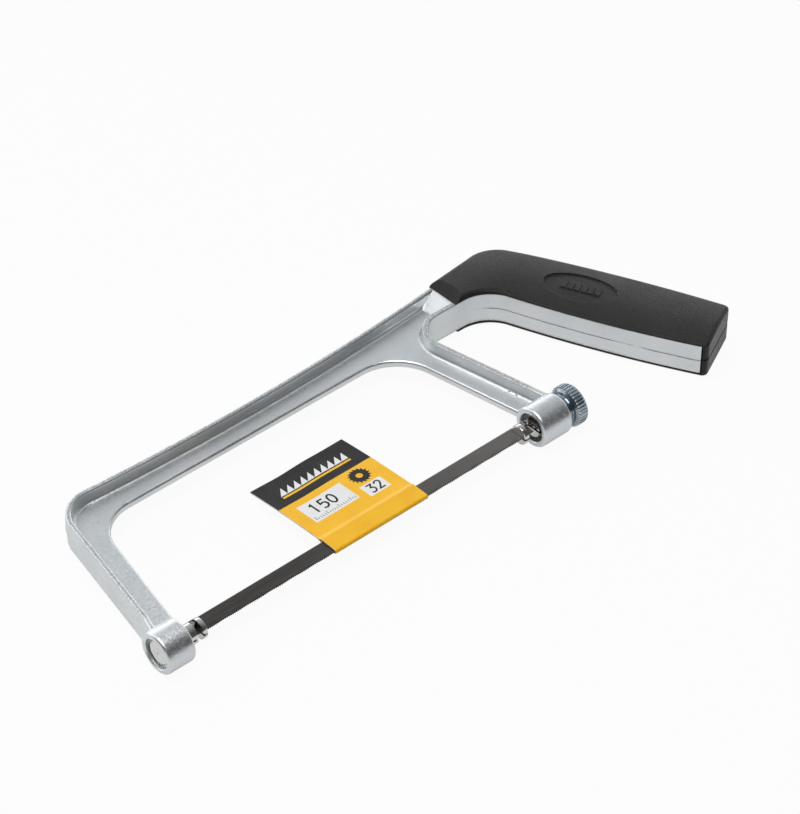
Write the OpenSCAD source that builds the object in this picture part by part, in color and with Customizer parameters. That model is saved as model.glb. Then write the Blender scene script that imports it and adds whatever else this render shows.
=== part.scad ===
// Mini hacksaw lying on its side.
// X runs along the blade from the front stud to the handle, Y from the blade to the spine, Z up.
// The outlines are drawn round the stud axis and the middle of the blade, and place() moves them
// so that the origin is at the centre of the underside.

/* [Blade] */
// Length over all
blade_len = 151; // [146:0.5:156]
// Width from the back to the tooth tips
blade_w = 6.35; // [5.5:0.05:7]
// Thickness of the strip
blade_t = 0.65; // [0.5:0.05:0.8]
// Distance between two teeth, 32 to the inch
tooth_pitch = 0.794; // [0.7:0.002:1.1]
// Depth of a tooth
tooth_depth = 0.4; // [0.3:0.05:0.5]
// Plain stretch at each end of the blade
blade_end = 5; // [2:0.5:8]
// Distance from the end of the blade to the centre of its pin
pin_inset = 2.5; // [2:0.1:3]
// Diameter of the cross pins
pin_d = 2; // [1.6:0.1:2.2]
// Length of the cross pins
pin_len = 6; // [4:0.1:6.4]
// Distance of the blade's centreline from the stud axis, towards the spine
blade_y = 1; // [0:0.1:1.2]

/* [Bow] */
// Depth of the throat, from the stud axis to the spine
throat_depth = 60.9; // [56:0.1:66]
// Depth of the spine, from its inner edge to its outer face
spine_depth = 10; // [9:0.1:12]
// Radius of the spine's long hollow curve
spine_curve_r = 1000; // [900:10:1500]
// Place along the blade where that curve is lowest
spine_low_x = -5; // [-15:1:5]
// Height of the outer flange
flange_h = 12; // [10.4:0.1:12.4]
// Thickness of the flange
flange_t = 2.6; // [2:0.1:3.2]
// Thickness of the web
web_t = 3; // [2:0.1:4]
// Lean of the front leg's inner edge
leg_in_lean = 10.2; // [8:0.1:12]
// Lean of the front leg's outer face
leg_out_lean = 10.1; // [9:0.1:11]
// Width of the front leg at the stud axis
leg_w = 10.9; // [10:0.1:11.2]
// How far the leg's inner edge lies behind the front boss, at the stud axis
leg_over = 1.5; // [0.5:0.1:2]
// Lean of the rear arm's inner edge
arm_in_lean = 11; // [9:0.1:12.5]
// Lean of the rear arm's outer edge
arm_out_lean = 11.7; // [10:0.1:13]
// Width of the rear arm at the stud axis
arm_w = 10.6; // [9:0.1:11]
// Inner corner radius beside the front leg
throat_front_r = 16; // [12:0.5:20]
// Inner corner radius beside the rear arm
throat_rear_r = 18; // [12:0.5:22]
// Outer corner radius at the front
bow_corner_r = 14; // [12:0.5:20]
// Width of the parting ridge
ridge_w = 0.5; // [0.3:0.1:1]
// How far the parting ridge stands out
ridge_out = 0.2; // [0.1:0.05:0.4]

/* [Bosses] */
// Diameter of both bosses
boss_d = 15.4; // [14.4:0.1:15.6]
// Length of the front boss
front_boss_len = 11; // [10:0.1:12]
// Gap between the blade's end and the front boss
front_boss_gap = 2.5; // [1.2:0.1:3.5]
// Length of the rear boss
rear_boss_len = 13.2; // [12.6:0.1:14]
// Gap between the blade's end and the rear boss
rear_boss_gap = 0.3; // [0.2:0.1:0.8]
// Rounding of the boss ends
boss_round = 1.2; // [0.5:0.1:1.6]
// Diameter of the front counterbore and of the rear recess
recess_d = 11; // [10:0.1:12]
// Depth of the front counterbore
front_recess = 2.5; // [2:0.1:3.5]
// Wall left behind the rear recess
rear_wall = 7; // [6:0.1:7.6]

/* [Studs and nut] */
// Diameter of the forked ends
fork_d = 7.4; // [6.8:0.1:8]
// Length of the hook in front of a pin
hook_len = 1.9; // [1.5:0.1:2.4]
// Rounding of the hook's rim
hook_round = 0.5; // [0.2:0.1:0.8]
// How far a slot goes on past the blade's end
slot_past = 1; // [0.3:0.1:1.2]
// Solid length behind the rear stud's slot
fork_root = 1.5; // [1:0.1:2]
// Diameter of the rear stud's threaded shank
shank_d = 5; // [4:0.1:5.4]
// Diameter of the front stud's head
stud_head_d = 8.8; // [8.2:0.1:9.6]
// Thickness of the front stud's head
stud_head_t = 1.5; // [1:0.1:1.9]
// Thread pitch of the rear stud
thread_pitch = 0.8; // [0.7:0.05:0.9]
// Turns of the nut from tight to slack
slack_turns = 3; // [2:0.5:3]
// Diameter over the knurl
nut_d = 15.6; // [14.4:0.1:15.6]
// Length of the knurled head
knurl_len = 5; // [4:0.1:6]
// Grooves round the knurl
knurl_count = 40; // [24:1:48]
// Depth of the knurl's grooves
knurl_depth = 0.5; // [0.3:0.05:0.7]
// Diameter of the nut's neck
neck_d = 12.8; // [10:0.1:13.6]
// Length of the nut's neck
neck_len = 2.6; // [2:0.1:4]
// Bevel on both edges of the knurl
nut_bevel = 0.6; // [0.3:0.1:1]
// Distance of the stud's end inside the nut when tight
stud_inset = 1; // [0.4:0.1:2]

/* [Handle] */
// Thickness of the whole grip
grip_t = 16.2; // [15.8:0.1:17]
// Place along the blade where the grip begins
grip_front_x = 97.3; // [96:0.1:99]
// Depth of the finger opening, from the stud axis to its top
finger_top = 61.8; // [60:0.1:63]
// Radius of the finger opening beside the rear arm
finger_front_r = 9.5; // [8:0.5:10.5]
// Radius of the finger opening under the grip
finger_rear_r = 14.5; // [11:0.5:16]
// Distance from the grip's front to where the finger strip's line meets the finger top
strip_ahead = 13.2; // [12:0.1:16]
// Lean of the handle
handle_lean = 25.6; // [23:0.1:28]
// Length of the finger strip's line down to the grip's end
strip_len = 85.8; // [80:0.1:92]
// Width of the grip at its end
grip_w = 24.9; // [22:0.1:27]
// Angle by which the grip's back spreads from the finger strip
back_spread = 0.1; // [0:0.1:2.4]
// How far the finger strip bows out towards the fingers
strip_bow = 1.5; // [0.2:0.1:2]
// How far the back bows out into the palm
back_bow = 1.6; // [0.2:0.1:2.5]
// Outer corner radius between the spine and the back
grip_corner_r = 13; // [10:0.5:16]
// Corner radius of the grip's end, in plan
grip_end_r = 2.3; // [2.2:0.1:3]
// Rounding of the grip's long edges
grip_round = 2; // [1:0.1:2.1]
// Wall of the grip's back and end
grip_wall = 2.6; // [2.2:0.1:3]
// Seam between the two half shells
grip_seam = 0.1; // [0.05:0.05:0.3]
// Length of the slanting face at the grip's front end
grip_nose = 3.4; // [2:0.1:5]
// Length of the slope that rises from the web to the grip
neck_slope = 7.2; // [5:0.1:9]
// Length of the full-height neck inside the grip
neck_in = 7; // [4:0.1:8]
// Length of the oval recess
oval_len = 29; // [20:0.5:34]
// Width of the oval recess
oval_w = 15; // [10:0.5:17]
// Depth of the oval recess
oval_depth = 0.4; // [0.2:0.1:0.8]
// Distance of the oval's centre from the strip's top, along the handle
oval_along = 31; // [27:0.5:38]
// Distance of the oval's centre and the screws from the strip
mid_across = 13.3; // [11.5:0.1:14]

/* [Grip screws] */
// Distance of the first screw from the strip's top, along the handle
screw_1_in = 9; // [6:0.5:11]
// Distance of the second screw from the grip's end
screw_2_in = 34; // [26:0.5:36]
// Distance of the third screw from the grip's end
screw_3_in = 9; // [8:0.5:16]
// Diameter of the screw shanks
screw_d = 3; // [2.5:0.1:3.5]
// Diameter of the screw heads
screw_head_d = 5.5; // [4.6:0.1:6]
// Height of the screw heads
screw_head_h = 1.6; // [1.2:0.1:2]
// Depth of a screw head below the grip's surface
screw_sink = 0.6; // [0.3:0.1:1]
// Depth of the screws' cross recess
drive_depth = 1; // [0.6:0.1:1.1]
// Width of an arm of the cross recess
drive_w = 0.8; // [0.5:0.1:1]
// Diameter of the posts inside the grip
post_d = 8; // [7.6:0.1:10]
// How far the screws reach into the upper posts
screw_bite = 4; // [3:0.1:5]

/* [Sleeve] */
// Width of the sleeve along the blade
sleeve_w = 41; // [30:0.5:50]
// Height of the sleeve from its fold to its free edge
sleeve_h = 45; // [35:0.1:50]
// Place of the sleeve's middle along the blade
sleeve_x = 5.2; // [-10:0.1:15]
// Thickness of the paper
paper_t = 0.25; // [0.15:0.05:0.35]
// Angle by which the free flap hangs down
flap_droop = 6; // [0.5:0.5:8]
// Width of the stretch where the paper closes behind the blade
flap_bend = 2.5; // [1.5:0.1:4]

/* [Fits] */
// Clearance between the blade or its pins and the studs
blade_clear = 0.12; // [0.1:0.01:0.2]
// Radial running clearance of the rear stud in the boss and the nut
run_clear = 0.06; // [0.02:0.01:0.1]
// Radial clearance of pressed and screwed pieces in their holes
fixed_clear = 0.02; // [0.01:0.01:0.05]
// Gap between the nut's neck and the rear boss
nut_gap = 0.05; // [0.02:0.01:0.2]
// Gap between the grip and the casting inside it
core_gap = 0.15; // [0.1:0.05:0.4]
// Room between the paper and the blade
paper_gap = 0.3; // [0.2:0.05:0.5]

/* [Hidden] */
$fn = 64;
cut = 1;
arc_chord = 1.8;
round_steps = 3;
bow_steps = 6;
spine_steps = 12;

// Places along the stud axis
half_blade = blade_len / 2;
pin_x = half_blade - pin_inset;
front_boss_x = -half_blade - front_boss_gap;
front_face_x = front_boss_x - front_boss_len;
rear_boss_x = half_blade + rear_boss_gap;
rear_face_x = rear_boss_x + rear_boss_len;
slack_travel = thread_pitch * slack_turns;
slot_w = blade_t + 2 * blade_clear;
notch_w = pin_d + 2 * blade_clear;
notch_top = blade_y + notch_w / 2;
tip_x = pin_x - notch_w / 2 - hook_len;
slot_end_x = half_blade + slot_past;
fork_end_x = slot_end_x + slack_travel + fork_root;
knurl_x = rear_face_x + nut_gap + neck_len;
nut_end_x = knurl_x + knurl_len;

// Heights
half_h = flange_h / 2;
grip_half = grip_t / 2;
lift = max(grip_half, nut_d / 2, boss_d / 2);

// Directions of the handle
along = [sin(handle_lean), -cos(handle_lean)];
across = [cos(handle_lean), sin(handle_lean)];
back_dir = [sin(handle_lean - back_spread), -cos(handle_lean - back_spread)];
core_wall = grip_wall + core_gap;

// Main corners, before they are rounded
spine_y = throat_depth + spine_depth;
foot_y = sqrt(pow(boss_d / 2, 2) - pow(half_h, 2)) - 0.4;
leg_in_x = front_boss_x + leg_over;
leg_out_x = leg_in_x - leg_w;
arm_out_x = rear_face_x + 0.4;
arm_in_x = arm_out_x - arm_w;
leg_in_foot = [front_boss_x - boss_round, foot_y];
leg_heel = [leg_in_x + boss_d / 2 * tan(leg_in_lean), boss_d / 2];
leg_out_foot = [leg_out_x + foot_y * tan(leg_out_lean), foot_y];
arm_in_foot = [arm_in_x - foot_y * tan(arm_in_lean), foot_y];
arm_out_foot = [arm_out_x - foot_y * tan(arm_out_lean), foot_y];
throat_front = [leg_in_x + throat_depth * tan(leg_in_lean), throat_depth];
throat_rear = [arm_in_x - throat_depth * tan(arm_in_lean), throat_depth];
finger_front = [arm_out_x - finger_top * tan(arm_out_lean), finger_top];
strip_top = [grip_front_x + strip_ahead, finger_top];
strip_end = strip_top + strip_len * along;
back_end = strip_end + grip_w * across;

function unit(v) = v / norm(v);
function left_of(v) = [-v[1], v[0]];
function flip(p) = [for (i = [len(p) - 1:-1:0]) p[i]];
function last(p) = p[len(p) - 1];
function spine_out(x) = spine_y + pow(x - spine_low_x, 2) / (2 * spine_curve_r);
function spine_at(x) = [x, spine_out(x)];

// Point where the line of the grip's back meets the spine's curve, found by halving
function meet(lo, hi, n) = let (m = (lo + hi) / 2, p = back_end - m * back_dir)
    n == 0 ? p : p[1] < spine_out(p[0]) ? meet(m, hi, n - 1) : meet(lo, m, n - 1);
back_top = meet(0, 2 * strip_len, 30);

// Arc of radius r that rounds corner b between the lines to a and to c
function corner(a, b, c, r) =
    let (u = unit(a - b), v = unit(c - b), turn = acos(u * v),
        start = u * r / tan(turn / 2) - unit(u + v) * r / sin(turn / 2),
        mid = b + unit(u + v) * r / sin(turn / 2),
        sweep = (180 - turn) * sign(u[1] * v[0] - u[0] * v[1]),
        n = max(3, ceil(PI / 180 * abs(sweep) * r / arc_chord)))
    [for (i = [0:n]) let (g = sweep * i / n)
        mid + [start[0] * cos(g) - start[1] * sin(g), start[0] * sin(g) + start[1] * cos(g)]];

// Points between a and b on a shallow bow that stands out to the right by h
function bowed(a, b, h) = [for (i = [1:bow_steps - 1]) let (t = i / bow_steps)
    a + (b - a) * t - left_of(unit(b - a)) * h * 4 * t * (1 - t)];

// A closed anticlockwise outline drawn in by d
function inset(p, d) = [for (i = [0:len(p) - 1])
    let (a = p[(i + len(p) - 1) % len(p)], b = p[i], c = p[(i + 1) % len(p)],
        m = left_of(unit(b - a)), n = left_of(unit(c - b)))
    b + (m + n) * d / (1 + m * n)];

// The band between insets d0 and d1 of an outline's points i0 to i1
function band(p, i0, i1, d0, d1) = let (a = inset(p, d0), b = inset(p, d1))
    concat([for (i = [i0:i1]) a[i]], [for (i = [i1:-1:i0]) b[i]]);

// Rounded runs of the bow and the handle
throat_front_arc = corner(leg_heel, throat_front, throat_rear, throat_front_r);
throat_rear_arc = corner(throat_front, throat_rear, arm_in_foot, throat_rear_r);
finger_front_arc = corner(arm_out_foot, finger_front, strip_top, finger_front_r);
finger_rear_arc = corner(finger_front, strip_top, strip_end, finger_rear_r);
bow_top_x = leg_out_x + spine_y * tan(leg_out_lean);
bow_corner = spine_at(bow_top_x);
bow_arc = corner(leg_out_foot, bow_corner, spine_at(bow_top_x + 2 * bow_corner_r), bow_corner_r);
spine_start_x = last(bow_arc)[0];
spine_run = [for (i = [1:spine_steps])
    spine_at(spine_start_x + (grip_front_x - spine_start_x) * i / spine_steps)];
strip_run = bowed(last(finger_rear_arc), strip_end, strip_bow);
grip_corner = corner(back_end, back_top, spine_at(grip_front_x), grip_corner_r);
back_run = bowed(back_end, grip_corner[0], back_bow);

// Outline of the bow, of the whole finger opening's edge and of the grip, all anticlockwise
bow_outline = concat([leg_out_foot, leg_in_foot, leg_heel], throat_front_arc, throat_rear_arc,
    [arm_in_foot, arm_out_foot], finger_front_arc, [[grip_front_x, finger_top]],
    flip(spine_run), flip(bow_arc));
outer_edge = concat([spine_at(grip_front_x + neck_in), spine_at(grip_front_x),
    spine_at(grip_front_x - ridge_w)], [for (i = [spine_steps - 2:-1:0]) spine_run[i]], flip(bow_arc),
    [leg_out_foot, [leg_out_x, 0], [0, 0]]);
finger_edge = concat([[arm_out_x, 0], arm_out_foot], finger_front_arc, finger_rear_arc, strip_run,
    [strip_end, back_end, back_top, throat_rear]);
grip_spine = [spine_at((grip_front_x + last(grip_corner)[0]) / 2), spine_at(grip_front_x)];
grip_outline = concat([[grip_front_x, finger_top]], finger_rear_arc, strip_run,
    corner(last(strip_run), strip_end, back_end, grip_end_r),
    corner(strip_end, back_end, back_run[0], grip_end_r), back_run, grip_corner, grip_spine);
grip_inside = concat([[grip_front_x, finger_top]], finger_rear_arc, strip_run,
    [strip_end, back_end], back_run, grip_corner, grip_spine);
outer_last = len(outer_edge) - 3;
finger_last = len(finger_edge) - 4;

// Centre of the underside
min_x = front_face_x;
max_x = max([for (p = grip_outline) p[0]]);
min_y = min([for (p = grip_outline) p[1]]);
max_y = max([for (p = grip_outline) p[1]]);

module place() {
    translate([-(min_x + max_x) / 2, -(min_y + max_y) / 2, lift]) children();
}

// Flat shape made into a plate of height h, centred on the parting plane
module plate(points, h) {
    translate([0, 0, -h / 2]) linear_extrude(h) polygon(points);
}

// Round bar along X from x0 to x1
module bar(x0, x1, r) {
    translate([x0, 0, 0]) rotate([0, 90, 0]) cylinder(h = x1 - x0, r = r);
}

// Round bar along X whose two rims are rounded by e0 and e1
module soft_bar(x0, x1, r, e0, e1) {
    h = x1 - x0;
    foot = [for (i = [0:round_steps]) let (a = 90 * i / round_steps)
        [r - e0 + e0 * sin(a), e0 - e0 * cos(a)]];
    head = [for (i = [0:round_steps]) let (a = 90 * i / round_steps)
        [r - e1 + e1 * cos(a), h - e1 + e1 * sin(a)]];
    translate([x0, 0, 0]) rotate([0, 90, 0])
        rotate_extrude() polygon(concat([[0, 0]], foot, head, [[0, h]]));
}

// Solid through copies of one outline, each level given as height and inset
module loft(outline, levels) {
    n = len(outline);
    top = len(levels) - 1;
    points = [for (l = levels) each [for (p = inset(outline, l[1])) [p[0], p[1], l[0]]]];
    sides = [for (k = [0:top - 1]) each [for (i = [0:n - 1]) let (j = (i + 1) % n, a = k * n, b = a + n)
        each [[a + i, b + i, b + j], [a + i, b + j, a + j]]]];
    floor_face = [for (i = [0:n - 1]) i];
    roof_face = [for (i = [n - 1:-1:0]) top * n + i];
    polyhedron(points, concat([floor_face], sides, [roof_face]));
}

// Everything beyond the line that lies d short of the grip's end
module beyond_end(d) {
    translate(strip_end - d * along) rotate(handle_lean)
        translate([-2 * grip_w, -4 * d - 2 * cut, -grip_t]) cube([5 * grip_w, 4 * d + 2 * cut, 2 * grip_t]);
}

// Neck that rises from the web to the full height in front of the grip and goes on inside it
module neck() {
    foot = grip_front_x - neck_slope;
    inner = grip_front_x + neck_in;
    low_y = finger_top + flange_t / 2;
    intersection() {
        translate([0, spine_out(inner), 0]) rotate([90, 0, 0]) linear_extrude(spine_out(inner) - low_y)
            polygon([[foot, -web_t / 2], [grip_front_x, -half_h], [inner, -half_h],
                [inner, half_h], [grip_front_x, half_h], [foot, web_t / 2]]);
        plate([[foot - cut, low_y], [inner, low_y], spine_at(inner) - [0, core_wall],
            spine_at(grip_front_x) - [0, core_wall], spine_at(grip_front_x) - [0, flange_t / 2],
            spine_at(foot - cut) - [0, flange_t / 2]], 2 * flange_h);
    }
}

// Flange round the bow and the finger opening, on the thin web
module bow() {
    plate(bow_outline, web_t);
    plate(band(outer_edge, 1, outer_last, 0, flange_t), flange_h);
    plate(band(outer_edge, 2, outer_last, -ridge_out, flange_t / 2), ridge_w);
    neck();
    difference() {
        union() {
            plate(band(finger_edge, 1, finger_last, 0, flange_t), flange_h);
            plate(band(finger_edge, 1, finger_last, -ridge_out, flange_t / 2), ridge_w);
            plate(inset(grip_inside, core_wall), web_t);
        }
        beyond_end(core_wall);
    }
}

module screw_at(i) {
    reach = [screw_1_in, strip_len - screw_2_in, strip_len - screw_3_in][i];
    translate(strip_top + mid_across * across + reach * along) children();
}

module frame_casting() color("#b9bdc1") place() difference() {
    union() {
        bow();
        soft_bar(front_face_x, front_boss_x, boss_d / 2, boss_round, boss_round);
        soft_bar(rear_boss_x, rear_face_x, boss_d / 2, boss_round, boss_round);
    }
    bar(front_face_x - cut, front_face_x + front_recess, recess_d / 2);
    bar(front_face_x, front_boss_x + cut, fork_d / 2 + fixed_clear);
    bar(rear_boss_x - cut, rear_face_x - rear_wall, recess_d / 2);
    bar(rear_boss_x, rear_face_x + cut, shank_d / 2 + run_clear);
    for (i = [0:2]) screw_at(i) cylinder(h = 2 * flange_h, r = screw_d / 2 + core_gap, center = true);
}

// Slot for the blade and, across it, the notch for its pin, open away from the bow
module fork_cuts(x0, x1, pin_at, extra) {
    translate([x0, -fork_d, -slot_w / 2]) cube([x1 - x0, 2 * fork_d, slot_w]);
    translate([pin_at - notch_w / 2, -fork_d, -fork_d]) cube([notch_w + extra, fork_d + notch_top, 2 * fork_d]);
}

module front_stud() color("#c9ccce") place() difference() {
    union() {
        soft_bar(front_face_x + front_recess - stud_head_t, front_face_x + front_recess,
            stud_head_d / 2, hook_round, hook_round / 2);
        soft_bar(front_face_x + front_recess - stud_head_t / 2, -tip_x, fork_d / 2, hook_round / 2,
            hook_round);
    }
    fork_cuts(-slot_end_x, -tip_x + cut, -pin_x, 0);
}

module rear_stud() color("#c9ccce") place() difference() {
    union() {
        soft_bar(tip_x, fork_end_x, fork_d / 2, hook_round, hook_round);
        soft_bar(fork_end_x - cut, nut_end_x - stud_inset, shank_d / 2, hook_round / 2, hook_round);
    }
    fork_cuts(tip_x - cut, slot_end_x + slack_travel, pin_x, slack_travel);
}

// Outline of the knurl: flat crests with a groove between each pair
function knurl_points() = [for (i = [0:knurl_count - 1]) each [for (k = [[0, 0], [0.4, 0], [0.7, 1]])
    let (a = 360 * (i + k[0]) / knurl_count - 90, r = nut_d / 2 - k[1] * knurl_depth)
    [r * cos(a), r * sin(a)]]];

module tension_nut() color("#c3cdd2") place() difference() {
    union() {
        bar(rear_face_x + nut_gap, knurl_x + cut, neck_d / 2);
        intersection() {
            translate([knurl_x, 0, 0]) rotate([0, 90, 0]) linear_extrude(knurl_len) polygon(knurl_points());
            translate([knurl_x, 0, 0]) rotate([0, 90, 0]) rotate_extrude() polygon([[0, 0],
                [nut_d / 2 - nut_bevel, 0], [nut_d / 2 + knurl_depth, nut_bevel + knurl_depth],
                [nut_d / 2 + knurl_depth, knurl_len - nut_bevel - knurl_depth],
                [nut_d / 2 - nut_bevel, knurl_len], [0, knurl_len]]);
        }
    }
    bar(rear_face_x - cut, nut_end_x + cut, shank_d / 2 + run_clear);
}

// Teeth lean towards the front stud, so the saw cuts on the push stroke
function teeth(x0, x1, y) = let (n = floor((x1 - x0) / tooth_pitch))
    [for (i = [0:n - 1]) each [[x0 + i * tooth_pitch, y], [x0 + (i + 0.75) * tooth_pitch, y + tooth_depth]]];

module blade() color("#4a4744") place() difference() {
    back = blade_y + blade_w / 2;
    tips = blade_y - blade_w / 2;
    plate(concat([[-half_blade, back], [-half_blade, tips + tooth_depth]],
        teeth(-half_blade + blade_end, half_blade - blade_end, tips),
        [[half_blade - blade_end, tips + tooth_depth], [half_blade, tips + tooth_depth],
        [half_blade, back]]), blade_t);
    for (s = [-1, 1]) translate([s * pin_x, blade_y, 0])
        cylinder(h = 2 * blade_t, r = pin_d / 2 + fixed_clear, center = true);
}

module blade_pin(x) color("#8f8d89") place()
    translate([x, blade_y, -pin_len / 2]) cylinder(h = pin_len, r = pin_d / 2);

// One half shell of the grip, standing on the seam. The lower half has holes for the screw heads
module grip_shell(lower) {
    edge = [for (i = [0:round_steps]) let (a = 90 * i / round_steps)
        [grip_half - grip_round + grip_round * sin(a), grip_round - grip_round * cos(a)]];
    difference() {
        union() {
            difference() {
                loft(grip_outline, concat([[-cut, 0]], edge, [[grip_half + cut, grip_round]]));
                hollow();
                slab(-2 * cut, grip_seam / 2);
                slab(grip_half, grip_half + 2 * cut);
            }
            for (i = [0:2]) screw_at(i) translate([0, 0, web_t / 2])
                cylinder(h = half_h - web_t / 2 + oval_depth, r = post_d / 2);
        }
        nose_cut();
        translate([0, 0, grip_half - oval_depth]) linear_extrude(oval_depth + cut) polygon(oval());
        for (i = [0:2]) screw_at(i) screw_holes(lower);
    }
}

// Space inside a half shell, open towards the fingers and the neck
module hollow() {
    near = inset(finger_edge, -cut);
    far = inset(grip_inside, grip_wall);
    first = len(finger_front_arc) + 2;
    turn = len(finger_rear_arc) + len(strip_run) + 2;
    difference() {
        translate([0, 0, -2 * cut]) linear_extrude(half_h + 2 * cut)
            polygon(concat([[grip_front_x - cut, finger_top - cut]], [for (i = [first:finger_last]) near[i]],
                [far[turn] + (grip_wall + cut) * unit(far[turn] - far[turn + 1])],
                [for (i = [turn + 1:len(far) - 2]) far[i]],
                [spine_at(grip_front_x - cut) - [0, grip_wall]]));
        beyond_end(grip_wall);
    }
}

// Block over the whole grip between two heights
module slab(low, high) {
    translate([0, min_y - cut, low]) cube([max_x + cut, max_y - min_y + 2 * cut, high - low]);
}

// The slanting face at the grip's front end
module nose_cut() {
    low = half_h + core_gap;
    rise = (grip_half - low) / grip_nose;
    translate([0, max_y + cut, 0]) rotate([90, 0, 0]) linear_extrude(max_y - finger_top + 2 * cut)
        polygon([[grip_front_x - cut, low - cut * rise], [grip_front_x + 2 * grip_nose, low + 2 * grip_nose * rise],
            [grip_front_x - cut, low + 2 * grip_nose * rise]]);
}

module screw_holes(lower) {
    r = screw_d / 2 + fixed_clear;
    if (lower) {
        cylinder(h = grip_t, r = r + core_gap);
        translate([0, 0, grip_half - screw_sink - screw_head_h])
            cylinder(h = grip_half, r = screw_head_d / 2 + core_gap);
    } else {
        cylinder(h = web_t / 2 + screw_bite, r = r);
    }
}

// Oval outline round the middle of the grip
function oval() = [for (i = [0:47]) let (a = 7.5 * i)
    strip_top + (mid_across + oval_w / 2 * sin(a)) * across + (oval_along + oval_len / 2 * cos(a)) * along];

module grip_upper() color("#3b3938") place() grip_shell(false);
module grip_lower() color("#3b3938") place() mirror([0, 0, 1]) grip_shell(true);

module grip_screw(i) color("#9fa3a6") place() screw_at(i) {
    head_z = -grip_half + screw_sink;
    difference() {
        union() {
            translate([0, 0, head_z]) cylinder(h = screw_head_h, r = screw_head_d / 2);
            translate([0, 0, head_z + screw_head_h / 2])
                cylinder(h = web_t / 2 + screw_bite - head_z - screw_head_h / 2 - core_gap, r = screw_d / 2);
        }
        for (a = [0, 90]) rotate(a) translate([0, 0, head_z])
            cube([screw_d, drive_w, 2 * drive_depth], center = true);
    }
}

// Paper folded round the blade's teeth and closed behind its back
module blade_sleeve() color("#f2b21a") place() {
    in_z = blade_t / 2 + paper_gap;
    out_z = in_z + paper_t;
    fold = blade_y - blade_w / 2 - paper_gap - paper_t;
    back = blade_y + blade_w / 2 + paper_gap;
    flap = back + flap_bend;
    reach = sleeve_h - (flap - fold);
    run = [cos(flap_droop), -sin(flap_droop)];
    up = paper_t * left_of(run);
    tip = [flap, 0] + reach * run;
    translate([sleeve_x - sleeve_w / 2, 0, 0]) rotate([90, 0, 90]) linear_extrude(sleeve_w)
        difference() {
            polygon([[fold, -in_z / 2], [fold + paper_t, -out_z], [back, -out_z], [flap, 0] - up,
                tip - up, tip + up, [flap, 0] + up, [back, out_z], [fold + paper_t, out_z],
                [fold, in_z / 2]]);
            polygon([[fold + paper_t, -in_z / 3], [fold + 2 * paper_t, -in_z], [back, -in_z],
                [flap - paper_t, 0], [back, in_z], [fold + 2 * paper_t, in_z],
                [fold + paper_t, in_z / 3]]);
        }
}

frame_casting();
front_stud();
rear_stud();
tension_nut();
blade();
blade_pin(-pin_x);  // blade_pin_front
blade_pin(pin_x);  // blade_pin_rear
grip_upper();
grip_lower();
grip_screw(0);  // grip_screw_1
grip_screw(1);  // grip_screw_2
grip_screw(2);  // grip_screw_3
blade_sleeve();
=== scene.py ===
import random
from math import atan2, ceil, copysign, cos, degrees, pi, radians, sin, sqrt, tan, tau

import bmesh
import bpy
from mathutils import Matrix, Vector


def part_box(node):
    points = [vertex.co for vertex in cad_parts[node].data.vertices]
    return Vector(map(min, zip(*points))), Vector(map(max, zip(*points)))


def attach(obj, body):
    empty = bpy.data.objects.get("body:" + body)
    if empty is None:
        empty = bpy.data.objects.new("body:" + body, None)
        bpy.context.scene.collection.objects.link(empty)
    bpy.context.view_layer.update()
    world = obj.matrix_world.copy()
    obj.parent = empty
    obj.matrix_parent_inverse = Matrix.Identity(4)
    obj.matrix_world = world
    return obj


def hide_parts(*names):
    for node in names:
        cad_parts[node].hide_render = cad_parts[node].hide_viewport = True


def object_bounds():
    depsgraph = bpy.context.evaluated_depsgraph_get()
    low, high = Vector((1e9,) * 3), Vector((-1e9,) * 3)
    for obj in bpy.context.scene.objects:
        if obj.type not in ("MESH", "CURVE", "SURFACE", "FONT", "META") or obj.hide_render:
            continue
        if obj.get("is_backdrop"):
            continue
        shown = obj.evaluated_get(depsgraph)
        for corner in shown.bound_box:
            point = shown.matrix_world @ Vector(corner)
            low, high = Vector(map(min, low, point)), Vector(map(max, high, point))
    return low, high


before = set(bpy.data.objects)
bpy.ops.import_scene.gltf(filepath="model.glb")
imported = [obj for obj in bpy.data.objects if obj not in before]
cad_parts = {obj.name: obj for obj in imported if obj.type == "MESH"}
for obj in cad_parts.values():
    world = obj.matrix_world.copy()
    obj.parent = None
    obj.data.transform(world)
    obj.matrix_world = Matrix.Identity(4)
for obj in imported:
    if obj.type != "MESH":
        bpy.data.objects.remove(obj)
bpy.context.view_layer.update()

# %% [markdown]
# # Dressing a mini hacksaw
# The CAD frame gives thirteen plain solids: a cast bow, two studs, a nut, a blade with its pins, a
# grip in two halves with three screws, and a folded card sleeve. This notebook gives each of them
# the shape and finish that the eye expects. The saw lies on its side, as on a table, and every
# piece is made in the saw's own measures: millimetres along the blade (x), towards the spine (y)
# and up (z), counted from the stud axis at the middle of the blade. One function moves such a
# point to its place in the frame, so that nothing has to be fitted by hand.

MM = 0.001
BLADE_BACK_Y = 4.175  # the blade's back edge, from the stud axis
blade_low, blade_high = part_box("blade")
SAW_ZERO = Vector(((blade_low.x + blade_high.x) / 2, blade_high.y - BLADE_BACK_Y * MM,
                   (blade_low.z + blade_high.z) / 2))


def in_place(x, y, z):
    """Place in the frame, in metres, of a point given in the saw's own millimetres."""
    return SAW_ZERO + Vector((x, y, z)) * MM


print("The saw's zero point lies at", [round(v * 1000, 3) for v in SAW_ZERO], "mm")

# %% [markdown]
# ## Camera
# The photograph looks down on the saw from its front left, from a good way off, so that lines that
# are parallel stay nearly parallel. A long lens far away gives that. The angles and the distance
# were worked out from the ends of the blade, the bosses and the handle in the picture.

# %% Camera
VIEW_TURN, VIEW_DROP = radians(48.32), radians(40.72)
VIEW_DISTANCE = 1.05
VIEW_CENTRE = in_place(49.59, 38.46, 0)


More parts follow.
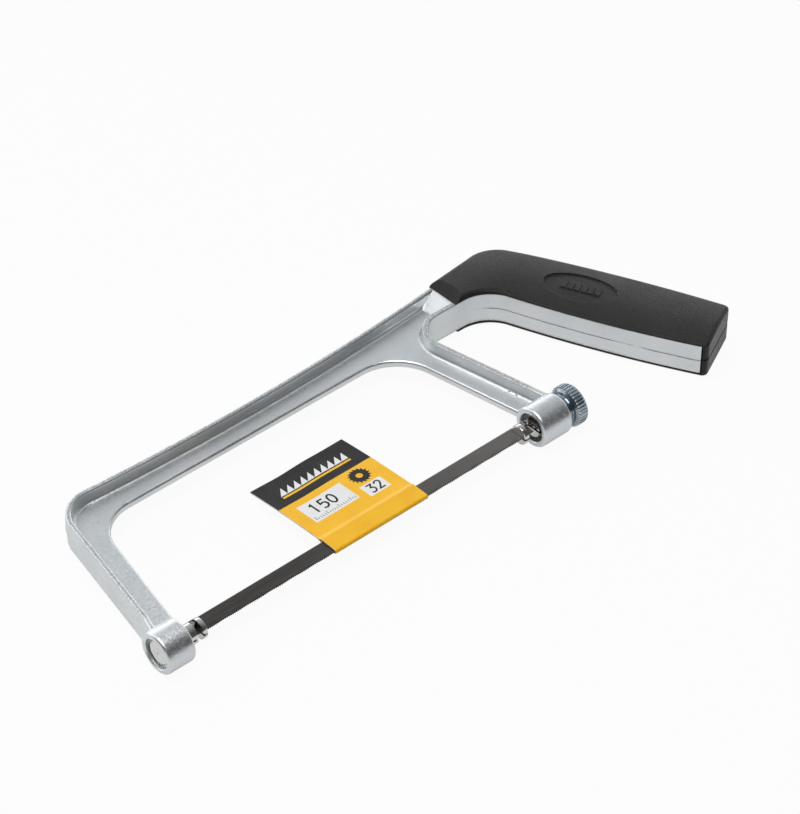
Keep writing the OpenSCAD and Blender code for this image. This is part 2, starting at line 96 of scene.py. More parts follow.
def shown(name, data):
    """New object in the scene with this data."""
    thing = bpy.data.objects.new(name, data)
    bpy.context.scene.collection.objects.link(thing)
    return thing


look = Vector((cos(VIEW_DROP) * cos(VIEW_TURN), cos(VIEW_DROP) * sin(VIEW_TURN), -sin(VIEW_DROP)))
camera_data = bpy.data.cameras.new("photo_camera")
camera_data.lens, camera_data.sensor_width, camera_data.clip_end = 133.15, 36, 50
camera = shown("photo_camera", camera_data)
camera.location = VIEW_CENTRE - VIEW_DISTANCE * look
camera.rotation_euler = look.to_track_quat("-Z", "Y").to_euler()
bpy.context.scene.camera = camera
print("Camera", round(degrees(VIEW_DROP)), "degrees above the table")

# %% [markdown]
# ## Node trees
# Materials and Geometry Nodes are both trees of nodes. One helper adds a node, sets it up and
# feeds its inputs: a value is written on the socket, and another node's output is linked to it.
# Feeds in a row go to the inputs in order: a noise takes its place, scale, detail and roughness,
# and a map range the value, the range it comes from and the range it goes to.

# %% Adding a node


def feed(node, feeds):
    """Set or link a node's inputs, by name or in order; a node gives its first output."""
    in_use = [socket for socket in node.inputs if socket.enabled]
    for key, value in feeds.items() if isinstance(feeds, dict) else enumerate(feeds):
        entry = in_use[key] if isinstance(key, int) else node.inputs[key]
        if isinstance(value, bpy.types.Node):
            value = next(socket for socket in value.outputs if socket.enabled)
        if isinstance(value, bpy.types.NodeSocket):
            node.id_data.links.new(value, entry)
        else:
            entry.default_value = value


def add(tree, kind, feeds=(), **settings):
    """Add a node with its settings and feed it."""
    family = "" if kind.startswith(("Geometry", "NodeGroup")) else "ShaderNode"
    made = tree.nodes.new(family + kind)
    for name, value in settings.items():
        setattr(made, name, value)
    feed(made, feeds)
    return made


def colour(code):
    """Linear colour from an sRGB hex code such as b9bdc1."""
    parts = [int(code[i:i + 2], 16) / 255 for i in (0, 2, 4)]
    linear = [c / 12.92 if c <= 0.04045 else ((c + 0.055) / 1.055) ** 2.4 for c in parts]
    return (*linear, 1.0)


print("Mid grey 808080 is", round(colour("808080")[0], 3), "in linear light")

# %% [markdown]
# ## Materials of the metal pieces
# The bow of such a saw is die-cast aluminium with a thin coat of silver lacquer. Up close the coat
# has a fine orange peel, little pits from the casting and a slightly uneven sheen. Noise in three
# sizes gives these: the peel is bump, the pits are bump and a faint spot, and the sheen is
# roughness. Patterns are sized from real lengths, so `per_mm` turns a feature size into a scale.

# %% Starting a finish


def per_mm(size):
    """Noise scale at which one feature of the pattern is about this many millimetres wide."""
    return 1 / (size * MM)


def finish(name):
    """New material with its tree, its shader and its object coordinates."""
    made = bpy.data.materials.new(name)
    made.use_nodes = True
    tree = made.node_tree
    return made, tree, tree.nodes["Principled BSDF"], add(tree, "TexCoord").outputs["Object"]


def two_tones(ramp, *stops):
    """Set the two stops of a colour ramp, each a place and a colour."""
    for stop, (place, code) in zip(ramp.color_ramp.elements, stops):
        stop.position, stop.color = place, colour(code)


print("A pattern 0.5 mm wide has the scale", per_mm(0.5))

# %% [markdown]
# The lacquer is satin metal, with flakes that soften every reflection. Its tone drifts slowly, and
# only a few cells of a Voronoi pattern hold a pit, because evenly spread pits look like a print.

# %% Painted aluminium
lacquered_casting, tree, shader, where = finish("lacquered_cast_aluminium")
cloud = add(tree, "TexNoise", (where, per_mm(22), 3.0))
tone = add(tree, "ValToRGB", (cloud,))
two_tones(tone, (0.3, "dadee0"), (0.7, "e8eaeb"))
# Pits are about 0.5 mm across and far apart.
pits = add(tree, "TexVoronoi", (where, per_mm(3.2)), feature="F1")
pit = add(tree, "MapRange", (pits, 0.05, 0.13, 1.0, 0.0))
# Only a few of the cells hold a pit.
few = add(tree, "Math", (add(tree, "SeparateColor", (pits.outputs["Color"],)), 0.72),
          operation="GREATER_THAN")
few_pits = add(tree, "Math", (pit, few), operation="MULTIPLY")
spotted = add(tree, "Mix", (few_pits, tone, colour("e2e2e4")), data_type="RGBA",
              blend_type="MULTIPLY")
print("Tone and pits of the lacquer:", len(tree.nodes), "nodes")

# %% [markdown]
# The crests of the rims were never smoothed. They keep the coarse skin of the casting, with dark
# and light grains 0.6 mm wide, so the height over the middle plane masks a second noise. The
# bosses, within 12 mm of the stud axis, are smooth again. Over all of it lies the orange peel.

# %% Skin of the crests and orange peel
place = add(tree, "SeparateXYZ", (where,))
rise = add(tree, "Math", (place.outputs["Z"], SAW_ZERO.z), operation="SUBTRACT")
high = add(tree, "Math", (rise,), operation="ABSOLUTE")
off_boss = add(tree, "MapRange", (place.outputs["Y"], SAW_ZERO.y + 9 * MM, SAW_ZERO.y + 12 * MM))
crest = add(tree, "MapRange", (high, 5.35 * MM, 6 * MM, 0.0, off_boss))
skin_grain = add(tree, "TexNoise", (where, per_mm(0.6), 2.0, 0.7))
dark_grain = add(tree, "MapRange", (skin_grain, 0.42, 0.6, 0.6, 0.0))
crest_grain = add(tree, "Math", (crest, dark_grain), operation="MULTIPLY")
skinned = add(tree, "Mix", (crest_grain, spotted, colour("8d9194")), data_type="RGBA")
# The peel is drawn 0.9 mm wide, somewhat coarser than real, so that it shows in the picture.
peel = add(tree, "TexNoise", (where, per_mm(0.9), 2.0))
sheen = add(tree, "MapRange", (peel, 0.3, 0.7, 0.3, 0.44))
peel_bump = add(tree, "Bump", {"Height": peel, "Strength": 0.6, "Distance": 0.08 * MM})
pit_bump = add(tree, "Bump", {"Height": few_pits, "Strength": 0.25, "Distance": 0.12 * MM,
                              "Normal": peel_bump}, invert=True)
feed(shader, {"Base Color": skinned, "Metallic": 1.0, "Roughness": sheen, "Normal": pit_bump})
print("Lacquer with", len(tree.nodes), "nodes")

# %% [markdown]
# The small metal pieces differ in how they were made. The nut is turned and zinc plated, which is
# bright with a blue cast. The studs are nickel plated, and nearly mirrors. The pins are drawn
# wire, and the screws are zinc plated. The same small tree serves all of them: a fine noise,
# stretched along or across the piece, moves the roughness a little and wrinkles the reflections.

# %% Plated and drawn metals


def plated(name, code, tint, rough, spread, stretch, depth):
    """Bare metal: two close colours, a roughness that varies by spread, and fine marks."""
    made, tree, shader, where = finish(name)
    drawn = add(tree, "Mapping", {"Vector": where, "Scale": stretch})
    marks = add(tree, "TexNoise", (drawn, per_mm(0.5), 3.0))
    patches = add(tree, "TexNoise", (where, per_mm(3), 2.0))
    blend = add(tree, "Mix", (patches, colour(code), colour(tint)), data_type="RGBA")
    level = add(tree, "MapRange", (marks, 0.3, 0.7, rough - spread, rough + spread))
    bump = add(tree, "Bump", {"Height": marks, "Strength": 0.3, "Distance": depth * MM})
    feed(shader, {"Base Color": blend, "Metallic": 1.0, "Roughness": level, "Normal": bump})
    return made


# Turning leaves rings round the axis, so the marks of the nut are short along x.
zinc_nut = plated("zinc_plated_steel", "e2e9ed", "cfdbe4", 0.2, 0.05, (3, 0.6, 0.6), 0.004)
# Painted shade: in the grooves and on the neck, within 7.3 mm of the stud axis, where the nut lies
# in shade between boss, ring and ribs, the zinc is painted dark blue.
tree, shader = zinc_nut.node_tree, zinc_nut.node_tree.nodes["Principled BSDF"]
from_axis = add(tree, "VectorMath", (add(tree, "TexCoord").outputs["Object"], tuple(SAW_ZERO)),
                operation="SUBTRACT")
spoke = add(tree, "VectorMath", (from_axis, (0, 1, 1)), operation="MULTIPLY")
radius = add(tree, "VectorMath", (spoke,), operation="LENGTH")
sunk = add(tree, "MapRange", (radius, 7.45 * MM, 7.1 * MM, 0.0, 0.6))
painted_groove_shade = add(tree, "Mix", (sunk, shader.inputs["Base Color"].links[0].from_socket,
                               colour("4c5a66")), data_type="RGBA")
feed(shader, {"Base Color": painted_groove_shade})
# Nickel is faintly warm and almost without marks.
nickel_stud = plated("nickel_plated_steel", "e4e3e0", "d6d5d2", 0.11, 0.03, (2, 1, 1), 0.008)
# Wire is drawn along its length.
drawn_pin = plated("drawn_steel_wire", "a9a6a0", "8f8c87", 0.28, 0.08, (1, 1, 0.2), 0.02)
zinc_screw = plated("zinc_plated_screw", "b3b8bb", "9ea5aa", 0.3, 0.08, (1, 1, 1), 0.02)
print("Plated metals:", zinc_nut.name, nickel_stud.name, drawn_pin.name, zinc_screw.name)

# %% [markdown]
# A hardened blade is blued and oiled: a dark warm grey with faint streaks along it from the
# rolling and a little bare steel where the teeth were set. The streaks are noise that is stretched
# twenty times along the blade.

# %% Blued blade steel
blued_blade, tree, shader, where = finish("blued_carbon_steel")
STREAK, STRETCH = 0.8, 20
streak_map = add(tree, "Mapping", {"Vector": where, "Scale": (1 / STRETCH, 1.0, 1.0)})
streaks = add(tree, "TexNoise", (streak_map, per_mm(STREAK), 4.0))
stain = add(tree, "TexNoise", (where, per_mm(9), 3.0))
steel = add(tree, "Mix", (streaks, colour("413e3c"), colour("585553")), data_type="RGBA")
oiled = add(tree, "Mix", (stain, steel, colour("d8d2cc")), data_type="RGBA", blend_type="MULTIPLY")
# Painted reflection: towards the handle the blade is painted paler, for the brighter surroundings
# that the rear of the blade mirrors.
place = add(tree, "SeparateXYZ", (where,))
painted_reflection_ramp = add(tree, "MapRange", (place.outputs["X"], SAW_ZERO.x - 0.03, SAW_ZERO.x + 0.07, 0.0, 0.6))
toned = add(tree, "Mix", (painted_reflection_ramp, oiled, colour("85827f")), data_type="RGBA")
level = add(tree, "MapRange", (streaks, 0.3, 0.7, 0.34, 0.5))
bump = add(tree, "Bump", {"Height": streaks, "Strength": 0.25, "Distance": 0.02 * MM})
feed(shader, {"Base Color": toned, "Metallic": 0.75, "Roughness": level, "Normal": bump})
print("Blade steel with streaks", STREAK * STRETCH, "mm long")

# %% [markdown]
# ## Moulded grip plastic
# The grip is moulded polypropylene in a spark-eroded mould, which leaves an even, fine grain that
# scatters light and makes black look like dark grey. Seen at a flat angle, such as on the end of
# the grip, it still mirrors the table. The grain is a fine noise, as bump and as a change of tone,
# and a slow swell of the roughness keeps the flanks from looking ideal.

# %% Grained black plastic
grip_plastic, tree, shader, where = finish("grained_black_polypropylene")
# The grain is drawn 0.45 mm wide; the real one is nearer 0.2 mm.
GRAIN = 0.45
grain = add(tree, "TexNoise", (where, per_mm(GRAIN), 3.0, 0.6))
swell = add(tree, "TexNoise", (where, per_mm(14), 2.0))
tone = add(tree, "ValToRGB", (grain,))
two_tones(tone, (0.3, "0d0b0a"), (0.72, "2a2725"))
worn = add(tree, "Mix", (swell, tone, colour("cfccca")), data_type="RGBA", blend_type="MULTIPLY")
level = add(tree, "MapRange", (swell, 0.3, 0.7, 0.4, 0.48))
bump = add(tree, "Bump", {"Height": grain, "Strength": 1.0, "Distance": 0.2 * MM})
feed(shader, {"Base Color": worn, "Roughness": level, "Normal": bump, "IOR": 1.49,
              "Specular IOR Level": 0.3, "Sheen Weight": 0.45, "Sheen Roughness": 0.35})
print("Grip grain", GRAIN, "mm")

# %% [markdown]
# ## Printed card
# The sleeve is coated card, printed and varnished. The varnish is a clear coat over the ink, and a
# long, weak noise makes it buckle a little, so that its reflections wander. All inks share one
# recipe and differ in colour only. The cut edges are bare white card, which is matt.

# %% Inks and card


def printed(name, code, second, coat):
    """Ink on card: two close tones and a clear coat of varnish that buckles."""
    made, tree, shader, where = finish(name)
    fleck = add(tree, "TexNoise", (where, per_mm(7), 4.0))
    ink = add(tree, "Mix", (fleck, colour(code), colour(second)), data_type="RGBA")
    buckle = add(tree, "TexNoise", (where, per_mm(16), 2.0))
    fibre = add(tree, "TexNoise", (where, per_mm(0.6), 3.0))
    soft = add(tree, "Bump", {"Height": buckle, "Strength": 0.8, "Distance": 1.0 * MM})
    bump = add(tree, "Bump", {"Height": fibre, "Strength": 0.15, "Distance": 0.02 * MM,
                              "Normal": soft})
    feed(shader, {"Base Color": ink, "Roughness": 0.5, "Specular IOR Level": 0.3, "Normal": bump,
                  "Coat Weight": coat, "Coat Roughness": 0.16, "Coat Normal": bump})
    return made


amber_ink = printed("amber_print", "f3b000", "fdc61a", 0.35)
black_ink = printed("black_print", "130f0d", "1c1715", 0.15)
white_ink = printed("white_print", "eeeeec", "e4e4e3", 0.4)
bare_card = printed("bare_card_edge", "f2efe9", "e2ddd4", 0.0)
print("Inks:", amber_ink.name, black_ink.name, white_ink.name, bare_card.name)

# %% [markdown]
# ## From outlines to solids
# Most of this saw is drawn as flat outlines with rounded corners that are then given height. The
# helpers below are the draughtsman's tools: round a corner, move a run of points sideways, and
# skin a row of loops. A skin closes itself at both ends, so every piece is a sealed solid.

# %% Draughtsman's tools


def left_of(v):
    return Vector((-v.y, v.x))


def corner(a, b, c, radius, chord=0.6):
    """Arc that rounds corner b between the lines to a and to c."""
    u, v = (a - b).normalized(), (c - b).normalized()
    turn = u.angle(v)
    middle = b + (u + v).normalized() * radius / sin(turn / 2)
    start = u * radius / tan(turn / 2) - (middle - b)
    sweep = copysign(pi - turn, u.y * v.x - u.x * v.y)
    steps = max(4, ceil(abs(sweep) * radius / chord))
    arc = []
    for i in range(steps + 1):
        g = sweep * i / steps
        arc.append(middle + Vector((start.x * cos(g) - start.y * sin(g),
                                    start.x * sin(g) + start.y * cos(g))))
    return arc


def bowed(a, b, height, steps=24):
    """Points between a and b on a shallow bow that stands out to the right."""
    side = left_of((b - a).normalized())
    return [a.lerp(b, i / steps) - side * height * 4 * (i / steps) * (1 - i / steps)
            for i in range(1, steps)]


def shifted(run, before, after, d):
    """A run of points moved to its left by d, with the points before and after it as guides."""
    guide = [before, *run, after]
    moved = []
    for a, b, c in zip(guide, guide[1:], guide[2:]):
        m, n = left_of((b - a).normalized()), left_of((c - b).normalized())
        moved.append(b + (m + n) * d / (1 + m.dot(n)))
    return moved


def inset(outline, d):
    return shifted(outline, outline[-1], outline[0], d)


print("A 16 mm corner gets", len(corner(Vector((0, 40)), Vector((0, 0)), Vector((40, 0)), 16)),
      "points")

# %% [markdown]
# Skinning makes most of the saw: a rim, a shell or a rib is a row of loops, and a round piece is a
# row of circles, as on a lathe.

# %% Skinning and turning


def welded(mesh, reach, fill=False):
    """Weld points that meet, close what is open if asked, and turn the faces outwards."""
    shape = bmesh.new()
    shape.from_mesh(mesh)
    bmesh.ops.remove_doubles(shape, verts=shape.verts, dist=reach)
    if fill:
        bmesh.ops.holes_fill(shape, edges=[e for e in shape.edges if e.is_boundary])
    bmesh.ops.recalc_face_normals(shape, faces=shape.faces)
    shape.to_mesh(mesh)
    shape.free()


def skin(name, loops, ring=False):
    """Solid through equal loops of points, closed by its end loops or, as a ring, on itself."""
    n = len(loops[0])
    pairs = list(zip(range(len(loops)), range(1, len(loops))))
    faces = [] if ring else [list(range(n)), list(range((len(loops) - 1) * n, len(loops) * n))]
    if ring:
        pairs.append((len(loops) - 1, 0))
    for a, b in pairs:
        faces += [(a * n + i, a * n + (i + 1) % n, b * n + (i + 1) % n, b * n + i)
                  for i in range(n)]
    mesh = bpy.data.meshes.new(name)
    mesh.from_pydata([in_place(*p) for loop in loops for p in loop], [], faces)
    welded(mesh, 1e-7)
    return shown(name, mesh)


def slab(name, plan, *heights):
    """Solid with this plan between two heights."""
    return skin(name, [[(*p, z) for p in plan] for z in heights])


def loft(name, outline, levels):
    """Solid through an outline that is drawn in by d at each height z."""
    return skin(name, [[(*p, z) for p in inset(outline, d)] for z, d in levels])


def turned(name, profile, at=None, sides=96, ring=False):
    """Lathe work: profile gives (place, radius) along the stud axis, or upright at a spot."""
    turns = [(cos(tau * i / sides), sin(tau * i / sides)) for i in range(sides)]
    if at is None:
        loops = [[(place, r * c, r * s) for c, s in turns] for place, r in profile]
    else:
        loops = [[(at[0] + r * c, at[1] + r * s, place) for c, s in turns] for place, r in profile]
    return skin(name, loops, ring)


def quarter(centre, radius, start, stop, steps=6):
    """Points of an arc in a profile, from one angle to another in degrees."""
    turns = [radians(start + (stop - start) * i / steps) for i in range(steps + 1)]
    return [(centre[0] + radius * cos(t), centre[1] + radius * sin(t)) for t in turns]


print("A quarter bend has", len(quarter((0, 0), 1, 0, 90)), "points")

# %% [markdown]
# Holes and joints are made with booleans, which ask for closed solids. A finished piece then gets
# its materials, smooth shading and place in the frame at once, so that none of them is forgotten.

# %% Joining and dressing


def settled(piece):
    """Make what the modifiers give the piece's own plain mesh."""
    scene_now = bpy.context.evaluated_depsgraph_get()
    mesh = bpy.data.meshes.new_from_object(piece.evaluated_get(scene_now))
    piece.modifiers.clear()
    piece.data = mesh
    return piece


def combine(how, body, *others):
    """Union or difference of closed solids, which are used up."""
    for other in others:
        step = body.modifiers.new("step", "BOOLEAN")
        step.operation, step.solver, step.object = how, "MANIFOLD", other
    settled(body)
    for other in others:
        bpy.data.objects.remove(other)
    return body


def dress(piece, body, slot, nodes, *materials, sharp=32):
    """Give a finished piece its materials, smooth shading and body, and hide the CAD nodes it
    replaces; slot is not used.
    """
    fields = [face.material_index % len(materials) for face in piece.data.polygons]
    piece.data.materials.clear()
    for material in materials:
        piece.data.materials.append(material)
    piece.data.polygons.foreach_set("material_index", fields)
    piece.data.shade_smooth()
    piece.data.set_sharp_from_angle(angle=radians(sharp))
    even = piece.modifiers.new("even_normals", "WEIGHTED_NORMAL")
    even.keep_sharp = True
    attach(piece, body)
    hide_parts(*nodes)
    print(piece.name, len(piece.data.polygons), "faces")


print("Booleans by hand, shading by angle")

# %% [markdown]
# ## Outlines of bow and handle
# The bow is a D: a long spine with a slight hollow, a front leg and a rear arm, with the work in
# the throat between them. Behind the arm the edge turns into the finger opening and runs on as the
# strip along the inside of the handle. Each corner is given by its two lines and a radius, as on
# a workshop drawing, so the curves can be made as fine as the picture needs.

# %% Main corners
HALF_BLADE = 75.5
FRONT_BOSS_X, FRONT_FACE_X = -78.0, -89.0
REAR_BOSS_X, REAR_FACE_X = 75.8, 89.0
BOSS_R = 7.7
THROAT_Y = 60.9
FINGER_Y = 61.8
SPINE_Y = 70.9
SPINE_CURVE = 1000
GRIP_X = 97.3
WEB_HALF = 1.5
RIM_HALF = 6.0
RIM_WIDE = 2.6
GRIP_HALF = 8.1
LEAN = radians(25.6)
STRIP_LONG = 85.8
GRIP_WIDE, MID_ACROSS = 24.9, 13.3
LEG_IN, LEG_OUT = (-76.5, 10.2), (-87.4, 10.1)      # place at the stud axis and lean
ARM_IN, ARM_OUT = (78.8, -11), (89.4, -11.7)

along = Vector((sin(LEAN), -cos(LEAN)))
across = Vector((cos(LEAN), sin(LEAN)))


def on_line(x_at_axis, lean, y):
    """Point at height y on a line that leans by this many degrees from the blade's normal."""
    return Vector((x_at_axis + y * tan(radians(lean)), y))


def on_spine(x):
    return Vector((x, SPINE_Y + (x + 5) ** 2 / (2 * SPINE_CURVE)))


FOOT_Y = 4.4
leg_in_foot = Vector((FRONT_BOSS_X - 1.2, FOOT_Y))
leg_heel, leg_out_foot = on_line(*LEG_IN, BOSS_R), on_line(*LEG_OUT, FOOT_Y)
arm_in_foot, arm_out_foot = on_line(*ARM_IN, FOOT_Y), on_line(*ARM_OUT, FOOT_Y)
throat_front, throat_rear = on_line(*LEG_IN, THROAT_Y), on_line(*ARM_IN, THROAT_Y)
finger_front = on_line(*ARM_OUT, FINGER_Y)
strip_top = Vector((GRIP_X + 13.2, FINGER_Y))
strip_end = strip_top + STRIP_LONG * along
back_end = strip_end + GRIP_WIDE * across
back_way = Vector((sin(LEAN - radians(0.1)), -cos(LEAN - radians(0.1))))
back_top = back_end.copy()
while back_top.y < on_spine(back_top.x).y:
    back_top -= back_way * 0.01
print("Handle ends at", [round(v, 1) for v in back_end], "and its back meets the spine at",
      [round(v, 1) for v in back_top])

# %% [markdown]
# The outlines are put together from these corners as runs of points. Each run is kept under its
# own name, because the rims, the shells and the seams follow the same runs later.

# %% Rounded runs
bow_top = on_spine(on_line(*LEG_OUT, SPINE_Y).x)
bow_arc = corner(leg_out_foot, bow_top, on_spine(bow_top.x + 28), 14)
spine_run = [on_spine(bow_arc[-1].x + (GRIP_X - bow_arc[-1].x) * i / 60) for i in range(1, 61)]
front_arc = corner(leg_heel, throat_front, throat_rear, 16)
rear_arc = corner(throat_front, throat_rear, arm_in_foot, 18)
finger_front_arc = corner(arm_out_foot, finger_front, strip_top, 9.5)
finger_rear_arc = corner(finger_front, strip_top, strip_end, 14.5)
strip_run = bowed(finger_rear_arc[-1], strip_end, 1.5)
grip_arc = corner(back_end, back_top, on_spine(GRIP_X), 13)
back_run = bowed(back_end, grip_arc[0], 1.6)
grip_spine = [on_spine(grip_arc[-1].x + (GRIP_X - grip_arc[-1].x) * i / 6) for i in range(1, 7)]
grip_front = Vector((GRIP_X, FINGER_Y))
bow_outline = [leg_out_foot, leg_in_foot, leg_heel, *front_arc, *rear_arc, arm_in_foot,
               arm_out_foot, *finger_front_arc, grip_front, *reversed(spine_run),
               *reversed(bow_arc)]
grip_outline = [grip_front, *finger_rear_arc, *strip_run,
                *corner(strip_run[-1], strip_end, back_end, 2.3),
                *corner(strip_end, back_end, back_run[0], 2.3), *back_run, *grip_arc, *grip_spine]
# A hair is taken off all round, so that the finer curves stay inside the CAD solid.
grip_outline = inset(grip_outline, 0.03)
print("Bow outline", len(bow_outline), "points, grip outline", len(grip_outline))

# %% [markdown]
# ## The cast bow
# A thin web carries a raised rim round the outside and round the finger opening. Both rims lean
# inwards by a degree or two on each side of a fine ridge, where the two halves of the mould met,
# and run into the web with a small fillet. A rim is one profile that is carried along the
# outline, and a profile with the fillets in it is easier to keep tidy than edges bevelled later.

# %% Profile of a rim
RIM_LEAN = 0.22      # how much narrower the rim is at its top, on each side
# The mould leaves a fine groove under the ridge: its depth, its height and half its width.
GROOVE_DEEP, GROOVE_Z, GROOVE_HALF = 0.42, -0.7, 0.22
FILLET_R = 1.5


def rim_half(top, edge, ridge):
    """Half of a rim's profile, from the web to the ridge: (distance inwards, height)."""
    foot = quarter((RIM_WIDE + FILLET_R, WEB_HALF + FILLET_R - 0.03), FILLET_R, 270, 184)
    inner = quarter((RIM_WIDE - RIM_LEAN - edge, top - edge), edge, 0, 90, 4)
    outer = quarter((RIM_LEAN + edge, top - edge), edge, 90, 180, 4)
    return [*foot, *inner, *outer, (0.03, 0.3), (-ridge * 0.5, 0.2), (-ridge, 0.1)]


def rim(name, run, before, after, low, edge, ridge, groove):
    """The rim's profile along a run of points; groove gives its share and rise at each point."""
    upper = rim_half(RIM_HALF, edge, ridge)
    lower = [(d, -z) for d, z in reversed(rim_half(low, edge, ridge))]
    plain = lower[3][0]
    profile = [*upper, *lower[:3], (plain, GROOVE_Z + GROOVE_HALF), (GROOVE_DEEP, GROOVE_Z),
               (plain, GROOVE_Z - GROOVE_HALF), *lower[3:]]
    first = len(upper) + 3
    flat = shifted(run, before, after, plain)
    rails = [shifted(run, before, after, d) for d, z in profile]
    loops = []
    for i in range(len(run)):
        share, rise = groove[i]
        loop = [(rail[i].x, rail[i].y, z) for rail, (d, z) in zip(rails, profile)]
        for k in range(first, first + 3):
            spot = flat[i].lerp(rails[k][i], share)
            loop[k] = (spot.x, spot.y, profile[k][1] + rise)
        loops.append(loop)
    return skin(name, loops)


print("Rim profile, upper half:", len(rim_half(RIM_HALF, 0.85, 0.06)), "points")

# %% [markdown]
# The outer rim runs from the grip along the spine, round the front corner and down the leg, whose
# outer face swings out a little to meet the face of the boss.

# %% Outer rim
FLARE_FROM, FLARE_OUT = 13.0, 0.7
leg_flare = []
for i in range(13):
    y = FLARE_FROM + (FOOT_Y - FLARE_FROM) * i / 12
    leg_flare.append(on_line(*LEG_OUT, y) - Vector((FLARE_OUT * (i / 12) ** 2, 0)))
outer_run = [*reversed(spine_run[:-1]), *reversed(bow_arc), *leg_flare]
outer_run.insert(0, on_spine(GRIP_X - 0.12))
outer_rim = rim("outer_rim", outer_run, on_spine(GRIP_X + 1), leg_flare[-1] - Vector((0.5, 2)),
                RIM_HALF, 0.85, 0.06, [(1.3, 0)] * len(outer_run))
print("Outer rim along", len(outer_run), "points")

# %% [markdown]
# The finger rim starts at the rear arm and becomes the bright strip of the handle. There the ridge
# was belted off, and a thin uneven line is left of it. It starts in the bend behind the neck,
# wanders a little and has a short rough stretch near the end, so each point draws its own share.

# %% Finger rim
strip_stop = strip_end - 2.5 * along
finger_run = [arm_out_foot, *finger_front_arc, *finger_rear_arc,
              *[p for p in strip_run if (p - strip_stop).dot(along) < -0.5], strip_stop]
STRIP_LOW = 6.6       # the strip reaches a little further down than up
ROUGH_FROM, ROUGH_TO = 50, 62
chance = random.Random(11)
seam_line = []
for p in finger_run:
    past = (p - finger_rear_arc[len(finger_rear_arc) // 2]).dot(along)
    start = 0 if past < -3 else min(1, (past + 3) / 6)
    rough = ROUGH_FROM < past < ROUGH_TO
    seam_line.append((start * (0.75 + 0.25 * chance.random() + 0.3 * rough * chance.random()),
                      0.12 * start * chance.uniform(-1, 1) * (1 + rough) + (0.35 if rough else 0)))
finger_rim = rim("finger_rim", finger_run, on_line(*ARM_OUT, 0), strip_end, STRIP_LOW, 0.45, 0.02,
                 seam_line)
print("Finger rim along", len(finger_run), "points")

# %% [markdown]
# The web is one lofted plate under all of this. Inside the grip it goes on as a plain core that
# the shells close over, and in front of the grip it climbs up to them as a flat slope.

# %% Web, core and neck
EDGE_ROUND, CORE_GAP = 1.0, 2.75
edge = quarter((EDGE_ROUND, WEB_HALF - EDGE_ROUND), EDGE_ROUND, 180, 90)
web = loft("bow_casting", bow_outline,
           [*[(-z, d) for d, z in reversed(edge)], *[(z, d) for d, z in edge]])


def inside_grip(near, far, end):
    """Outline inside the grip: near the strip, far from the back and short of the end."""
    stop = strip_end - end * along
    strip_side = [p for p in [*finger_rear_arc, *strip_run] if (p - stop).dot(along) < -0.5]
    strip_side = shifted([*strip_side, stop], finger_front, strip_end, near)
    back_side = [p for p in [*back_run, *grip_arc, *grip_spine[:-1]]
                 if (p - stop).dot(along) < -far]
    back_side = shifted(back_side, back_end, on_spine(GRIP_X), far)
    first = stop + (GRIP_WIDE - far) * across
    return strip_side, [first, *back_side]


strip_side, back_side = inside_grip(1.0, CORE_GAP, CORE_GAP)
core = slab("core", [Vector((GRIP_X - 4, FINGER_Y + 1)), *strip_side, *back_side,
                     on_spine(GRIP_X - 4) - Vector((0, CORE_GAP))], -WEB_HALF, WEB_HALF)

# The neck climbs from the web to the height of the grip's rim as one flat slope.
NECK_FOOT, NECK_INNER = GRIP_X - 7, GRIP_X + 7
neck_loops = []
for i in range(25):
    x = NECK_FOOT - 1.5 + (NECK_INNER - NECK_FOOT + 1.5) * i / 24
    t = min(max((x - NECK_FOOT) / (GRIP_X - NECK_FOOT), 0), 1)
    z = WEB_HALF - 0.02 + (RIM_HALF - 0.02 - WEB_HALF) * t
    top = on_spine(x).y - (1.3 if x < GRIP_X else CORE_GAP)
    neck_loops.append([(x, FINGER_Y + 1.3, -z), (x, top, -z), (x, top, z), (x, FINGER_Y + 1.3, z)])
neck = skin("neck", neck_loops)
print("Web", len(web.data.polygons), "faces")

# %% [markdown]
# The bosses are turned rings in the casting that hold the studs. Where a boss stands on the web,
# the mould has a fillet, and without it the joint looks glued on. The fillet is a wedge with a
# hollow face that touches both the web and the round of the boss, and dies away at its ends.

# %% Bosses and their fillets
BOSS_EDGE = 1.2


def boss(name, x0, x1):
    return turned(name, [*[(x0 + BOSS_EDGE - u, BOSS_R - BOSS_EDGE + v)
                           for u, v in quarter((0, 0), BOSS_EDGE, 0, 90)],
                         *[(x1 - BOSS_EDGE + u, BOSS_R - BOSS_EDGE + v)
                           for u, v in quarter((0, 0), BOSS_EDGE, 90, 0)]])


def boss_fillet(name, x0, x1, radius):
    """Hollow wedge between web and boss, above and below the web."""
    loops = []
    for i in range(17):
        t = i / 16
        r = radius * (0.25 + 0.75 * min(1, 5 * t, 5 * (1 - t)))
        z = WEB_HALF + r - 0.02
        y = sqrt((BOSS_R + r) ** 2 - z ** 2)
        stop = 180 + degrees(atan2(z, y))
        hollow = [(y + r * cos(a), z + r * sin(a)) for a in
                  [radians(270 + (stop - 270) * k / 6) for k in range(7)]]
        half = [*hollow, (5.5, 2.5)]
        loops.append([(x0 + (x1 - x0) * t, *p) for p in half]
                     + [(x0 + (x1 - x0) * t, p[0], -p[1]) for p in reversed(half)])
    return skin(name, loops)


front_boss = boss("front_boss", FRONT_FACE_X, FRONT_BOSS_X)
rear_boss = boss("rear_boss", REAR_BOSS_X, REAR_FACE_X)
front_fillet = boss_fillet("front_fillet", FRONT_FACE_X + 1.5, FRONT_BOSS_X + 0.2, 2.0)
rear_fillet = boss_fillet("rear_fillet", REAR_BOSS_X + 1.4, REAR_FACE_X - 1.2, 2.0)
print("Boss", len(front_boss.data.polygons), "faces")

# %% [markdown]
# The bores are drilled last, as in the works. The front stud sits in a counterbore, the rear one
# slides in its bore, and the screws pass through the core.

